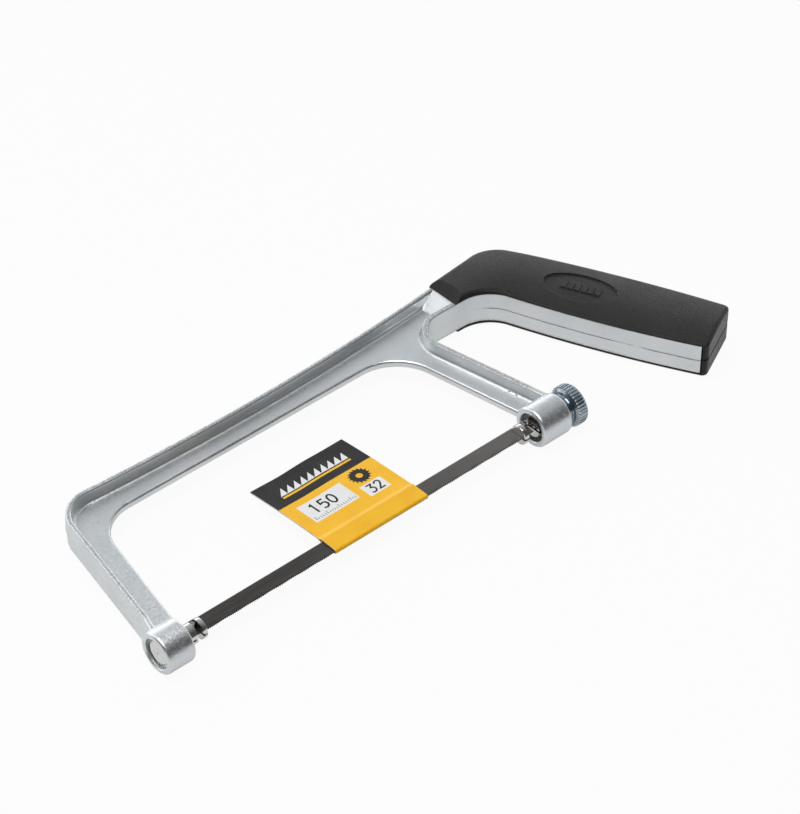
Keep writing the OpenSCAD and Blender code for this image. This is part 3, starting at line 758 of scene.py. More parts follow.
# %% Bores and marks
RECESS_R = 5.5
bores = []
for x, stop, far, r, mouth in ((FRONT_FACE_X, FRONT_FACE_X + 2.5, FRONT_BOSS_X, 3.72, 4.0),
                               (REAR_BOSS_X, REAR_FACE_X - 7, REAR_FACE_X, 2.56, 2.9)):
    bores += [turned("recess", [(x - 1, RECESS_R + 1), (x, RECESS_R + 0.35), (x + 0.35, RECESS_R),
                                (stop, RECESS_R)]),
              turned("bore", [(x + 1, r), (far - 0.3, r), (far, mouth), (far + 1, mouth + 1)])]
SCREW_REACH = (9, STRIP_LONG - 34, STRIP_LONG - 9)
screw_spots = [strip_top + MID_ACROSS * across + reach * along for reach in SCREW_REACH]
bores += [turned("screw_way", [(-3, 1.65), (3, 1.65)], at=spot, sides=32) for spot in screw_spots]
# Ejector pins push the casting out of the mould and leave a shallow ring on both faces.
PIN_MARKS = ((-66, 62.3), (10.4, 63.5), (78.8, 65.4), (-78, 13.9), (81, 15.9))
groove = ((-0.05, 2.2), (-0.05, 2.45), (0.3, 2.75), (0.3, 1.9))
marks = [turned("pin_mark", [(side * (WEB_HALF + rise), r) for rise, r in groove], spot, 40, True)
         for spot in PIN_MARKS for side in (-1, 1)]
bow = combine("UNION", web, outer_rim, finger_rim, core, neck, front_boss, rear_boss, front_fillet,
              rear_fillet)
bow = combine("DIFFERENCE", bow, *bores, *marks)
dress(bow, "frame", "casting", ["frame_casting"], lacquered_casting)

# %% [markdown]
# ## The grip
# The grip is two moulded half shells that close over the cast handle like a clam. Each is a loft
# of the handle's outline with a rounded long edge. It is hollow where the casting lies, and open
# towards the fingers, so that the bright strip shows between the shells. The slanting scoop at
# the front, the sunk oval on the flank and the screw holes are cut afterwards.

# %% Shell body
EDGE_SOFT = {1: 1.8, -1: 1.4}   # rounding of the long edge, above and below
SEAM_HALF = 0.05


def shell_levels(soft):
    """Height and inset of the loft's levels, from the seam to the flank."""
    return [(SEAM_HALF, 0.4), (0.45, 0.0),
            *[(GRIP_HALF - soft + v, soft - u) for u, v in quarter((0, 0), soft, 0, 90, 8)]]


def grip_cavity(side):
    strip_side, back_side = inside_grip(-1.5, 2.6, 2.1)
    plan = [Vector((GRIP_X - 1, FINGER_Y - 1.5)), *strip_side, *back_side,
            on_spine(GRIP_X - 1) - Vector((0, 2.6))]
    return slab("cavity", plan, -side, side * ((RIM_HALF if side > 0 else STRIP_LOW) + 0.01))


print("Shell levels:", [round(z, 2) for z, _ in shell_levels(EDGE_SOFT[1])])

# %% [markdown]
# The scoop is a face that slants from the neck up to the flank, as if pressed with a thumb, so it
# reaches further back in its middle. The oval is sunk with a soft wall, like a stamped field.

# %% Scoop and oval
MIDDLE_Y = FINGER_Y + 7.3     # middle line of the grip behind the neck
SCOOP_HALF, SCOOP_SIDE, SCOOP_MORE = 7.8, 1.5, 3.3
# The oval's middle, from the top of the strip, its radii and its depth.
OVAL_ACROSS, OVAL_ALONG, OVAL_WIDE, OVAL_LONG = 12.7, 33, 7.4, 14.2
OVAL_DEEP = 0.55


def scoop(side):
    """Cutter for the slanting face in front, deeper in its middle than at its edges."""
    low, high = RIM_HALF + 0.15, GRIP_HALF + 1
    y0, y1 = FINGER_Y - 3, on_spine(GRIP_X).y + 3
    loops = []
    for i in range(25):
        y = y0 + (y1 - y0) * i / 24
        middle = max(0, 1 - ((y - MIDDLE_Y) / SCOOP_HALF) ** 2)
        reach = SCOOP_SIDE + SCOOP_MORE * sqrt(middle)
        floor = [(x, low + (GRIP_HALF - low) * max(0, x - GRIP_X) / reach)
                 for x in [GRIP_X - 1 + 9 * k / 24 for k in range(25)]]
        roof = [(x, max(z, high) + 4) for x, z in reversed(floor)]
        loops.append([(x, y, side * z) for x, z in [*floor, *roof]])
    return skin("scoop", loops)


def oval_cutter(side):
    """The sunk oval with a soft wall."""
    loops = []
    for grow, z in ((-0.2, -OVAL_DEEP), (-0.05, -OVAL_DEEP + 0.08), (0, -0.1), (0.12, 0.02),
                    (1.2, 1)):
        spots = [strip_top + (OVAL_ACROSS + (OVAL_WIDE + grow) * sin(a)) * across
                 + (OVAL_ALONG + (OVAL_LONG + grow) * cos(a)) * along
                 for a in [tau * i / 96 for i in range(96)]]
        loops.append([(*p, side * (GRIP_HALF + z)) for p in spots])
    return skin("oval", loops)


print("Oval", 2 * OVAL_WIDE, "by", 2 * OVAL_LONG, "mm")

# %% [markdown]
# The flank isn't flat: it falls away on both sides of a middle line, which is level behind the
# neck and then bends down the handle. A flat face with few edges can't be rounded, so it is first
# cut into squares, and then each point is lowered by its distance from that line.

# %% Crown of the flanks
CROWN = {1: 0.0072, -1: 0.002}   # drop of the flank per square millimetre from its middle line
handle_mid = strip_top + MID_ACROSS * across
mid_start, mid_end = Vector((GRIP_X - 9, MIDDLE_Y)), handle_mid + 95 * along
bend_at = handle_mid + (MIDDLE_Y - handle_mid.y) / along.y * along
grip_mid = [mid_start, *corner(mid_start, bend_at, mid_end, 22, 1.5), mid_end]


def off_middle(p):
    """Distance of a flat point from the grip's middle line, in millimetres."""
    gaps = []
    for a, b in zip(grip_mid, grip_mid[1:]):
        t = (p - a).dot(b - a) / (b - a).length_squared
        gaps.append((p - a.lerp(b, min(max(t, 0), 1))).length)
    return min(gaps)


def crowned(body, side):
    """Round the flat flank: it falls away on both sides of the handle's middle line."""
    shape = bmesh.new()
    shape.from_mesh(body.data)
    bmesh.ops.triangulate(shape, faces=[f for f in shape.faces if len(f.verts) > 4])
    flank = (GRIP_HALF - EDGE_SOFT[side]) * MM
    cuts = [(across, 1.7 * i) for i in range(-16, 10)] + [(along, 1.9 * i) for i in range(-12, 9)]
    for way, reach in cuts:
        faces = [f for f in shape.faces
                 if all(abs(v.co.z - SAW_ZERO.z) > flank for v in f.verts)]
        near = {e for f in faces for e in f.edges} | {v for f in faces for v in f.verts}
        spot = handle_mid + reach * way
        bmesh.ops.bisect_plane(shape, geom=[*faces, *near], plane_co=in_place(*spot, 0),
                               plane_no=Vector((*way, 0)), dist=1e-6)
    for point in shape.verts:
        place = (point.co - SAW_ZERO) / MM
        share = (abs(place.z) - RIM_HALF - 0.05) / (GRIP_HALF - RIM_HALF - 0.05)
        drop = CROWN[side] * off_middle(place.xy) ** 2 * min(max(share, 0), 1)
        point.co.z -= side * drop * MM
    shape.to_mesh(body.data)
    shape.free()
    return body


print("Middle line of", len(grip_mid), "points")

# %% [markdown]
# Each shell is now put together: body, cavity, screw posts, scoop, oval and holes. On the floor of
# the oval stands a short row of raised saw teeth. The upper shell has the threads, and the lower
# one has the ways and recesses for the screws.

# %% Two half shells


def oval_relief(side):
    """A short row of raised saw teeth on the floor of the oval."""
    floor, tops = GRIP_HALF - OVAL_DEEP, []
    for i in range(6):
        start = 25.4 + 2.6 * i
        plan = [handle_mid + aside * across + down * along
                for aside, down in ((-2.4, start), (-2.4, start + 2.3), (1.4, start + 2.3))]
        tops.append(loft("relief", plan, ((side * (floor - 0.2), 0), (side * (floor + 0.22), 0),
                                          (side * (floor + 0.3), 0.08))))
    return tops


def half_shell(name, side):
    body = loft(name, grip_outline, [(side * z, d) for z, d in shell_levels(EDGE_SOFT[side])])
    combine("DIFFERENCE", body, grip_cavity(side))
    post = [(side * WEB_HALF, 4), (side * (RIM_HALF + 0.5), 4)]
    combine("UNION", body, *[turned("post", post, spot, 48) for spot in screw_spots])
    thread = [(0, 1.52), (WEB_HALF + 4, 1.52)]
    way = [(-GRIP_HALF - 1, 3.3), (-GRIP_HALF, 2.95), (-GRIP_HALF + 0.3, 2.9),
           (-RIM_HALF + 0.1, 2.9), (-RIM_HALF + 0.1, 1.67), (0, 1.67)]
    holes = [turned("hole", thread, spot, 32) if side > 0 else turned("hole", way, spot, 48)
             for spot in screw_spots]
    combine("DIFFERENCE", body, scoop(side), oval_cutter(side), *holes)
    return crowned(combine("UNION", body, *oval_relief(side)), side)


for side, half in ((1, "upper"), (-1, "lower")):
    dress(half_shell("grip_half_" + half, side), "frame", "grip", ["grip_" + half], grip_plastic)

# %% [markdown]
# ## What repeats: teeth, knurl and screws
# Geometry Nodes repeat a small unit and keep it in one place to edit. The trees for the teeth and
# the knurl take the object's own mesh as the unit, and the one for the screws takes another object
# and sets it on the object's points; each sets out copies by rule, makes them real and names the
# material. `repeated` sets the tree's inputs by their identifiers, turns the outcome into a plain
# mesh and takes the modifier away, because the frame wants finished meshes.

# %% Running a repeat tree


def repeat_tree(name, inputs):
    """Empty Geometry Nodes tree with named inputs; returns it with its inputs and its end node."""
    tree = bpy.data.node_groups.new(name, "GeometryNodeTree")
    tree.interface.new_socket("Geometry", in_out="INPUT", socket_type="NodeSocketGeometry")
    for label, kind in inputs.items():
        tree.interface.new_socket(label, in_out="INPUT", socket_type="NodeSocket" + kind)
    tree.interface.new_socket("Geometry", in_out="OUTPUT", socket_type="NodeSocketGeometry")
    return tree, add(tree, "NodeGroupInput").outputs, add(tree, "NodeGroupOutput")


def real_copies(tree, points, unit, **more):
    """Copies of the unit on the points, made real."""
    copies = add(tree, "GeometryNodeInstanceOnPoints", {"Points": points, "Instance": unit, **more})
    return add(tree, "GeometryNodeRealizeInstances", (copies,))


def close_tree(tree, shape, material, end):
    """Name the material of what the tree made, and hand it out."""
    feed(end, (add(tree, "GeometryNodeSetMaterial", {"Geometry": shape, "Material": material}),))


def repeated(unit, tree, values):
    """Run a repeat tree on its unit with these values and keep the outcome as a plain mesh."""
    step = unit.modifiers.new("repeat", "NODES")
    step.node_group = tree
    for item in tree.interface.items_tree:
        if item.in_out == "INPUT" and item.name in values:
            step[item.identifier] = values[item.name]
    unit.update_tag()
    bpy.context.view_layer.update()
    return settled(unit)


print("Repeat trees ready")

# %% [markdown]
# ## The blade
# A fine blade has 32 teeth to the inch, set in a wave: groups of teeth lean to the left, then to
# the right, so the cut is wider than the steel. One tooth is the unit, a line of copies makes the
# row, and a sine along the blade pushes the tips sideways while the roots stay put.

# %% Row of teeth
TOOTH_PITCH, TOOTH_DEEP = 0.794, 0.4
BLADE_THICK_HALF = 0.325
TIP_Y = BLADE_BACK_Y - 6.35
TEETH_START = -HALF_BLADE + 5
TEETH = int((2 * HALF_BLADE - 10) / TOOTH_PITCH)
WAVE_LONG, WAVE_OUT = 9.5, 0.13

tree, given, end = repeat_tree("tooth_row", {
    "Count": "Int", "Pitch": "Float", "Wave Length": "Float", "Wave Out": "Float",
    "Root Y": "Float", "Tooth Depth": "Float", "Steel": "Material"})
spacing = add(tree, "CombineXYZ", {"X": given["Pitch"]})
line = add(tree, "GeometryNodeMeshLine", {"Count": given["Count"], "Offset": spacing},
           mode="OFFSET")
real = real_copies(tree, line, given["Geometry"])
joined = add(tree, "GeometryNodeMergeByDistance", {"Geometry": real, "Distance": 1e-5})
spot = add(tree, "SeparateXYZ", (add(tree, "GeometryNodeInputPosition"),))
turns = add(tree, "Math", (spot.outputs["X"], given["Wave Length"]), operation="DIVIDE")
angle = add(tree, "Math", (turns, tau), operation="MULTIPLY")
wave = add(tree, "Math", (angle,), operation="SINE")
below = add(tree, "Math", (given["Root Y"], spot.outputs["Y"]), operation="SUBTRACT")
share = add(tree, "Math", (below, given["Tooth Depth"]), operation="DIVIDE", use_clamp=True)
reach = add(tree, "Math", (share, given["Wave Out"]), operation="MULTIPLY")
push = add(tree, "Math", (wave, reach), operation="MULTIPLY")
aside = add(tree, "CombineXYZ", {"Z": push})
moved = add(tree, "GeometryNodeSetPosition", {"Geometry": joined, "Offset": aside})
close_tree(tree, moved, given["Steel"], end)
print(TEETH, "teeth, 25.4 mm hold", round(25.4 / TOOTH_PITCH))

# %% [markdown]
# The strip is rolled stock with a small break on every edge. It gives way where the row of teeth
# stands, both are united, and the two pin holes are punched near the ends.

# %% Strip, teeth and pin holes
ROW_TOP = TIP_Y + TOOTH_DEEP + 0.9
tooth_plan = [(0, TIP_Y), (0.75 * TOOTH_PITCH, TIP_Y + TOOTH_DEEP), (TOOTH_PITCH, TIP_Y),
              (TOOTH_PITCH, ROW_TOP), (0.75 * TOOTH_PITCH, ROW_TOP), (0, ROW_TOP)]
teeth = slab("saw_blade_strip", [(TEETH_START + x, y) for x, y in tooth_plan], -BLADE_THICK_HALF,
             BLADE_THICK_HALF)
# The unit is open to its left and right, so that neighbours weld into one row.
shape = bmesh.new()
shape.from_mesh(teeth.data)
sides = [f for f in shape.faces if abs(f.normal.x) > 0.99]
bmesh.ops.delete(shape, geom=sides, context="FACES")
shape.to_mesh(teeth.data)
shape.free()
TAPER = TOOTH_DEEP + 0.25      # height over which the set dies away
root_y = in_place(0, TIP_Y + TAPER, 0).y
repeated(teeth, tree, {"Count": TEETH, "Pitch": TOOTH_PITCH * MM, "Wave Length": WAVE_LONG * MM,
                       "Wave Out": WAVE_OUT * MM, "Root Y": root_y,
                       "Tooth Depth": TAPER * MM, "Steel": blued_blade})
welded(teeth.data, 1e-6, fill=True)


def block(name, low, high):
    """Block between two corners."""
    plan = [(low[0], low[1]), (high[0], low[1]), (high[0], high[1]), (low[0], high[1])]
    return slab(name, plan, low[2], high[2])


BREAK = 0.06
low_y = TIP_Y + TOOTH_DEEP
strip_plan = [Vector(p) for p in ((-HALF_BLADE, low_y), (HALF_BLADE, low_y),
                                  (HALF_BLADE, BLADE_BACK_Y), (-HALF_BLADE, BLADE_BACK_Y))]
strip = loft("strip", strip_plan, ((-BLADE_THICK_HALF, BREAK), (-BLADE_THICK_HALF + BREAK, 0),
                                   (BLADE_THICK_HALF - BREAK, 0), (BLADE_THICK_HALF, BREAK)))
gap = block("gap", (TEETH_START + 0.01, TIP_Y - 1, -1),
            (TEETH_START + TEETH * TOOTH_PITCH - 0.01, ROW_TOP - 0.2, 1))
PIN_X, BLADE_Y = 73.0, 1.0
pin_holes = [turned("pin_hole", [(-1, 1.02), (1, 1.02)], at=(s * PIN_X, BLADE_Y), sides=40)
             for s in (-1, 1)]
combine("DIFFERENCE", strip, gap, *pin_holes)
blade = combine("UNION", teeth, strip)
dress(blade, "saw_blade", "blade", ["blade"], blued_blade, sharp=25)

# %% [markdown]
# ## Pins and studs
# The blade hangs on two short cross pins. Each pin sits in a notch at the end of a stud, and a
# slot lets the blade into the stud, which leaves two jaws with a hook. The studs are turned bar,
# so the lathe makes their bodies, and slot and notch are cut as a mill would cut them.

# %% Cross pins
PIN_R, PIN_HALF = 1.0, 3.0
for end, node in ((-1, "blade_pin_front"), (1, "blade_pin_rear")):
    pin = turned("cross_" + node.replace("blade_", ""),
                 [(-PIN_HALF, 0.78), (-PIN_HALF + 0.06, 0.9), (-PIN_HALF + 0.22, PIN_R),
                  (PIN_HALF - 0.22, PIN_R), (PIN_HALF - 0.06, 0.9), (PIN_HALF, 0.78)],
                 at=(end * PIN_X, BLADE_Y), sides=48)
    dress(pin, "saw_blade", "pin", [node], drawn_pin)

# %% [markdown]
# Both studs have the same fork. The front one ends in a flat head, and the rear one in a threaded
# shank, whose notch is longer, so that the stud can slide forward by the slack.

# %% Studs
FORK_R, SHANK_R, HEAD_R = 3.7, 2.5, 4.4
SLOT_HALF = BLADE_THICK_HALF + 0.12
NOTCH_HALF = PIN_R + 0.12
TIP_X = PIN_X - NOTCH_HALF - 1.9
SLACK = 2.4
FORK_TIP = ((0, 0.6), (0.05, 0.32), (0.22, 0.1), (0.5, 0))     # way in and cut of the tip's edge


def round_notch(x0, x1):
    """Notch for a pin, open away from the bow and rounded where the pin seats."""
    seat = BLADE_Y + NOTCH_HALF
    r = NOTCH_HALF * 0.7
    plan = [(x0, -8), (x1, -8), *quarter((x1 - r, seat - r), r, 0, 90),
            *quarter((x0 + r, seat - r), r, 90, 180)]
    return slab("notch", plan, -8, 8)


face = FRONT_FACE_X + 2.5
front_stud = turned("front_hook_stud", [
    (face - 1.5, HEAD_R - 0.55), (face - 1.42, HEAD_R - 0.28), (face - 1.2, HEAD_R - 0.08),
    (face - 0.95, HEAD_R), (face - 0.2, HEAD_R), (face, HEAD_R - 0.15), (face, FORK_R),
    *[(-TIP_X - u, FORK_R - cut) for u, cut in reversed(FORK_TIP)]])
# A small centre dimple is left in the head from the lathe.
dimple = turned("dimple", [(face - 2, 0.9), (face - 1.5, 0.42), (face - 1.2, 0.05)], sides=32)
combine("DIFFERENCE", front_stud, dimple,
        block("slot", (-HALF_BLADE - 1, -8, -SLOT_HALF), (-TIP_X + 1, 8, SLOT_HALF)),
        round_notch(-PIN_X - NOTCH_HALF, -PIN_X + NOTCH_HALF))
dress(front_stud, "frame", "stud", ["front_stud"], nickel_stud)

FORK_END = HALF_BLADE + 1 + SLACK + 1.5
STUD_END = REAR_FACE_X + 6.65     # 1 mm short of the nut's end
rear_stud = turned("rear_tension_stud", [
    *[(TIP_X + u, FORK_R - cut) for u, cut in FORK_TIP], (FORK_END - 0.4, FORK_R),
    (FORK_END, FORK_R - 0.4), (FORK_END, SHANK_R - 0.3), (FORK_END + 0.4, SHANK_R),
    (STUD_END - 0.5, SHANK_R), (STUD_END, SHANK_R - 0.5)])
combine("DIFFERENCE", rear_stud,
        block("slot", (TIP_X - 1, -8, -SLOT_HALF), (HALF_BLADE + 1 + SLACK, 8, SLOT_HALF)),
        round_notch(PIN_X - NOTCH_HALF, PIN_X + NOTCH_HALF + SLACK))
dress(rear_stud, "stud", "stud", ["rear_stud"], nickel_stud)

# %% [markdown]
# ## The knurled nut
# The nut's head has a straight knurl: 38 ribs pressed into a turned blank, with a bevel at both
# ends. One rib is the unit, and the tree turns copies of it about the stud axis. The ribs are
# then united with the turned blank, whose surface is the floor of the grooves.

# %% Ring of ribs
KNURL_X, KNURL_LONG, KNURL_R = 91.65, 5.0, 7.8
KNURL_DEEP, KNURLS, BEVEL, RING = 0.7, 38, 0.65, 0.75

tree, given, end = repeat_tree("knurl_ring",
                               {"Count": "Int", "Centre": "Vector", "Plating": "Material"})
dots = add(tree, "GeometryNodeMeshLine", {
    "Count": given["Count"], "Start Location": given["Centre"], "Offset": (0, 0, 0)}, mode="OFFSET")
number = add(tree, "GeometryNodeInputIndex")
per_turn = add(tree, "Math", (tau, given["Count"]), operation="DIVIDE")
angle = add(tree, "Math", (number, per_turn), operation="MULTIPLY")
turn = add(tree, "CombineXYZ", {"X": angle})
close_tree(tree, real_copies(tree, dots, given["Geometry"], Rotation=turn), given["Plating"], end)

# A rib is drawn at the saw's zero point, from where the tree turns it about the stud axis.
floor_r, rib_loops = KNURL_R - KNURL_DEEP, []
for x, drop in ((RING, BEVEL), (RING + BEVEL / 2, 0), (KNURL_LONG - BEVEL, 0), (KNURL_LONG, BEVEL)):
    crest = KNURL_R - drop
    flank = [(0.46, floor_r - 0.5), (0.46, min(crest, floor_r)), (0.3, crest - 0.22),
             (0.16, crest - 0.04)]
    rib_loops.append([(KNURL_X + x, y, z) for y, z in
                      [*[(-y, z) for y, z in flank], (0, crest), *reversed(flank)]])
ribs = skin("tension_nut_knurled", rib_loops)
for point in ribs.data.vertices:
    point.co -= SAW_ZERO
repeated(ribs, tree, {"Count": KNURLS, "Centre": tuple(SAW_ZERO), "Plating": zinc_nut})
print(KNURLS, "ribs", round(tau * KNURL_R / KNURLS, 2), "mm apart")

# %% [markdown]
# The blank is one turned piece: a neck that runs in the boss's mouth, a ring in front of the ribs,
# and a head whose surface lies at the floor of the grooves.

# %% Blank, neck and bore
NUT_END = KNURL_X + KNURL_LONG
blank = turned("blank", [
    (REAR_FACE_X + 0.05, 5.0), (REAR_FACE_X + 0.3, 5.2), (KNURL_X - 0.35, 5.2),
    (KNURL_X - 0.1, 5.35), (KNURL_X, 5.8), (KNURL_X + 0.05, 6.45),
    (KNURL_X + RING + 0.1, floor_r + 0.15), (KNURL_X + RING + 0.25, floor_r),
    (NUT_END - 0.55, floor_r), (NUT_END - 0.3, floor_r - 0.05), (NUT_END, 6.75)])
bore = turned("nut_bore", [
    (REAR_FACE_X - 1, 3.6), (REAR_FACE_X + 0.05, 2.9), (REAR_FACE_X + 0.4, 2.56),
    (NUT_END - 0.4, 2.56), (NUT_END, 2.95), (NUT_END + 1, 3.95)])
# The face round the bore is dished a little.
dish = turned("dish", [(NUT_END - 0.25, 4.6), (NUT_END, 4.9), (NUT_END + 1, 5.9)])
nut = combine("UNION", ribs, blank)
combine("DIFFERENCE", nut, bore, dish)
dress(nut, "nut", "nut", ["tension_nut"], zinc_nut, sharp=25)

# %% [markdown]
# ## Grip screws
# Three pan-head screws hold the shells together. They are one unit with a cross recess, set at
# three spots of the handle by the points of a small mesh.

# %% Three screws
tree, given, end = repeat_tree("screw_set", {"Screw": "Object", "Plating": "Material"})
unit = add(tree, "GeometryNodeObjectInfo", {"Object": given["Screw"]})
real = real_copies(tree, given["Geometry"], unit.outputs["Geometry"])
close_tree(tree, real, given["Plating"], end)

HEAD_Z = -GRIP_HALF + 0.6
SHANK_TOP = WEB_HALF + 4 - 0.15
screw = turned("one_screw", [
    (HEAD_Z, 1.9), (HEAD_Z + 0.12, 2.35), (HEAD_Z + 0.4, 2.65), (HEAD_Z + 0.8, 2.75),
    (HEAD_Z + 1.6, 2.75), (HEAD_Z + 1.6, 1.5), (SHANK_TOP - 0.6, 1.5), (SHANK_TOP, 0.9)],
    at=(0, 0), sides=48)
combine("DIFFERENCE", screw,
        block("arm_x", (-1.5, -0.4, HEAD_Z - 1), (1.5, 0.4, HEAD_Z + 1)),
        block("arm_y", (-0.4, -1.5, HEAD_Z - 1), (0.4, 1.5, HEAD_Z + 1)))
for point in screw.data.vertices:
    point.co -= Vector((SAW_ZERO.x, SAW_ZERO.y, 0))
spots = bpy.data.meshes.new("grip_screws")
spots.from_pydata([in_place(p.x, p.y, 0) - Vector((0, 0, SAW_ZERO.z)) for p in screw_spots], [], [])
screws = shown("grip_screws", spots)
repeated(screws, tree, {"Screw": screw, "Plating": zinc_screw})
bpy.data.objects.remove(screw)
dress(screws, "frame", "screw", ["grip_screw_1", "grip_screw_2", "grip_screw_3"], zinc_screw)

# %% [markdown]
# ## The card sleeve
# The sleeve is one strip of card, folded round the teeth, closed behind the blade's back and
# glued to itself as a flap. The cross-section of the fold is a smooth line that starts at the free
# edge on top, goes round the blade and comes back below. Carrying it along the blade gives the
# sheet, and a Solidify modifier gives it the thickness of card. Lines of the grid fall on the
# edges of the printed fields, so each field can simply have its own ink.

# %% Section of the folded card
PAPER, ROOM = 0.25, 0.3
SLEEVE_X, SLEEVE_HALF, SLEEVE_TALL = 5.2, 20.5, 45.0
DROOP = radians(6)
WALL_Z = BLADE_THICK_HALF + ROOM + PAPER / 2
FOLD_Y = TIP_Y - ROOM - PAPER / 2
BACK_Y = BLADE_BACK_Y + ROOM
FLAP_Y = BACK_Y + 2.5
FLAP_LONG = SLEEVE_TALL - (FLAP_Y - FOLD_Y) - PAPER / 2
# Distances from the free edge at which the print changes, and a few lines between them.
BAND_END = 15.3
# White panels: from and to along the blade, from and to off the free edge.
PANELS = ((-15.5, 3.5, 18.5, 29.5), (6.5, 15.5, 25.5, 32))
flap_lines = sorted({0, 3, 6, 9, 12, BAND_END, 21.5, *[s for panel in PANELS for s in panel[2:]],
                     FLAP_LONG})


def flap_point(s, layer):
    """Point of the flap at distance s from its free edge, on the upper or the lower sheet."""
    reach = FLAP_LONG - s
    bulge = 0.35 * sin(pi * reach / FLAP_LONG)
    y = FLAP_Y + reach * cos(DROOP)
    z = -reach * sin(DROOP) + bulge + layer * (PAPER / 2 + 0.005)
    return y, z


upper = [flap_point(s, 1) for s in flap_lines]
bend = []
for i in range(1, 8):
    t = i / 8
    ease = t * t * (3 - 2 * t)
    bend.append((FLAP_Y + (BACK_Y - FLAP_Y) * t, PAPER / 2 + (WALL_Z - PAPER / 2) * ease))
wall = [(BACK_Y - (BACK_Y - FOLD_Y - WALL_Z) * i / 4, WALL_Z) for i in range(5)]
fold = quarter((FOLD_Y + WALL_Z, 0), WALL_Z, 90, 180, 6)[1:]
section = [*upper, *bend, *wall, *fold]
mirror = [(y, -z) for y, z in [*bend, *wall, *fold[:-1]]]
section += [*reversed(mirror), *[flap_point(s, -1) for s in reversed(flap_lines)]]
print("Card section", len(section), "points, flap", round(FLAP_LONG, 1), "mm")

# %% [markdown]
# Real card is never flat, so the sheet gets a shallow wave along its free flap. The printed fields
# are faces of the grid, and the cut edges show the white card.

# %% Sheet with its printed fields


def thicken(sheet, thickness):
    """Give a sheet its thickness with Solidify; its cut edges take the second material."""
    step = sheet.modifiers.new("thicken", "SOLIDIFY")
    step.thickness, step.offset, step.use_even_offset = thickness * MM, 0, True
    step.material_offset_rim = 1
    settled(sheet)


column_lines = sorted({-SLEEVE_HALF, SLEEVE_HALF, *[u for panel in PANELS for u in panel[:2]],
                       *[-18 + 3 * i for i in range(13)]})


def buckled(u, y, z):
    """Card is never quite flat: a shallow wave along the flap that grows towards its free edge."""
    far = max(0, (y - FLAP_Y) / FLAP_LONG)
    return z + far * (0.18 * sin(u / 6.5) + 0.12 * sin(u / 3.1 + 1))


rows = [[(SLEEVE_X + u, y, buckled(u, y, z)) for u in column_lines] for y, z in section]
columns = len(column_lines)
faces = [(r * columns + c, r * columns + c + 1, (r + 1) * columns + c + 1, (r + 1) * columns + c)
         for r in range(len(rows) - 1) for c in range(columns - 1)]
mesh = bpy.data.meshes.new("card_sleeve")
mesh.from_pydata([in_place(*p) for row in rows for p in row], [], faces)
sleeve = shown("card_sleeve", mesh)
for ink in (amber_ink, bare_card, black_ink, white_ink):
    mesh.materials.append(ink)
for face in mesh.polygons:
    r, c = divmod(face.index, columns - 1)
    if r < len(flap_lines) - 1:
        s = (flap_lines[r] + flap_lines[r + 1]) / 2
        u = (column_lines[c] + column_lines[c + 1]) / 2
        if s < BAND_END:
            face.material_index = 2
        elif any(a < u < b and c < s < d for a, b, c, d in PANELS):
            face.material_index = 3
if mesh.polygons[0].normal.z < 0:
    mesh.flip_normals()
thicken(sleeve, PAPER)
print("Sleeve", len(sleeve.data.polygons), "faces")

# %% [markdown]
# The print itself is plain: a row of saw teeth across the black band, the blade's length in
# millimetres and its teeth to the inch as bare figures, a scale of ticks, and a toothed disc.
# Every mark is a film of ink a few hundredths of a millimetre thick that is laid on the card point
# by point.

# %% Laying ink on the card
INK = 0.02


def laid(name, polygons, material):
    """Film of ink: flat polygons in (u along the blade, s from the free edge), laid on the flap."""
    points, faces = [], []
    for polygon in polygons:
        faces.append(range(len(points), len(points) + len(polygon)))
        for u, s in polygon:
            y, z = flap_point(s, 1)
            points.append(in_place(SLEEVE_X + u, y, buckled(u, y, z) + PAPER / 2 + INK / 2 + 0.004))
    mesh = bpy.data.meshes.new(name)
    mesh.from_pydata(points, [], faces)
    welded(mesh, 1e-6)
    film = shown(name, mesh)
    thicken(film, INK)
    film.data.materials.append(material)
    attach(film, "sleeve")


print("A film of ink is", INK, "mm thick")

# %% [markdown]
# The figures are drawn with a broad pen on a small grid. A pen line is a row of quads with mitred
# corners, which is plainer than a font and needs none.

# %% Pen lines of the figures


def band(line, wide, closed=False):
    """Quads of a line drawn with a broad pen, mitred at its corners."""
    line = [Vector(p) for p in line]
    before = line[-1] if closed else 2 * line[0] - line[1]
    after = line[0] if closed else 2 * line[-1] - line[-2]
    sides = [shifted(line, before, after, d) for d in (-wide / 2, wide / 2)]
    stop = len(line) if closed else len(line) - 1
    return [[sides[0][i], sides[0][(i + 1) % len(line)], sides[1][(i + 1) % len(line)],
             sides[1][i]] for i in range(stop)]


# The grid is four wide and seven high.
STROKES = {
    "1": [(0.6, 5.8), (1.9, 6.8), (1.9, 0)],
    "2": [(0.3, 5.5), (0.9, 6.6), (2, 7), (3.1, 6.6), (3.6, 5.4), (3.1, 4.0), (0.5, 0.35),
          (3.8, 0.35)],
    "3": [(0.4, 6.7), (3.5, 6.7), (1.9, 4.3), (3.1, 3.8), (3.7, 2.6), (3.4, 1.1), (2.4, 0.2),
          (1.2, 0.15), (0.2, 0.8)],
    "5": [(3.5, 6.7), (0.8, 6.7), (0.6, 3.9), (2.0, 4.3), (3.2, 3.8), (3.7, 2.3), (3.2, 0.9),
          (2.0, 0.15), (0.3, 0.6)],
    "0": [(2 + 1.65 * cos(tau * i / 20), 3.5 + 3.3 * sin(tau * i / 20)) for i in range(20)]}


def figures(text, tall, left, base):
    """A plain number in pen lines, standing on the line s = base."""
    shapes, unit = [], tall / 7
    for i, sign in enumerate(text):
        line = [(left + (5 * i + x) * unit, base - y * unit) for x, y in STROKES[sign]]
        shapes += band(line, unit, sign == "0")
    return shapes


print("Figures:", *STROKES)

# %% [markdown]
# The marks keep clear of each other and of the edges of their fields, as the layout of such a
# sleeve does. White teeth and an amber bar lie on the black band, the rest is black.

# %% Printed marks


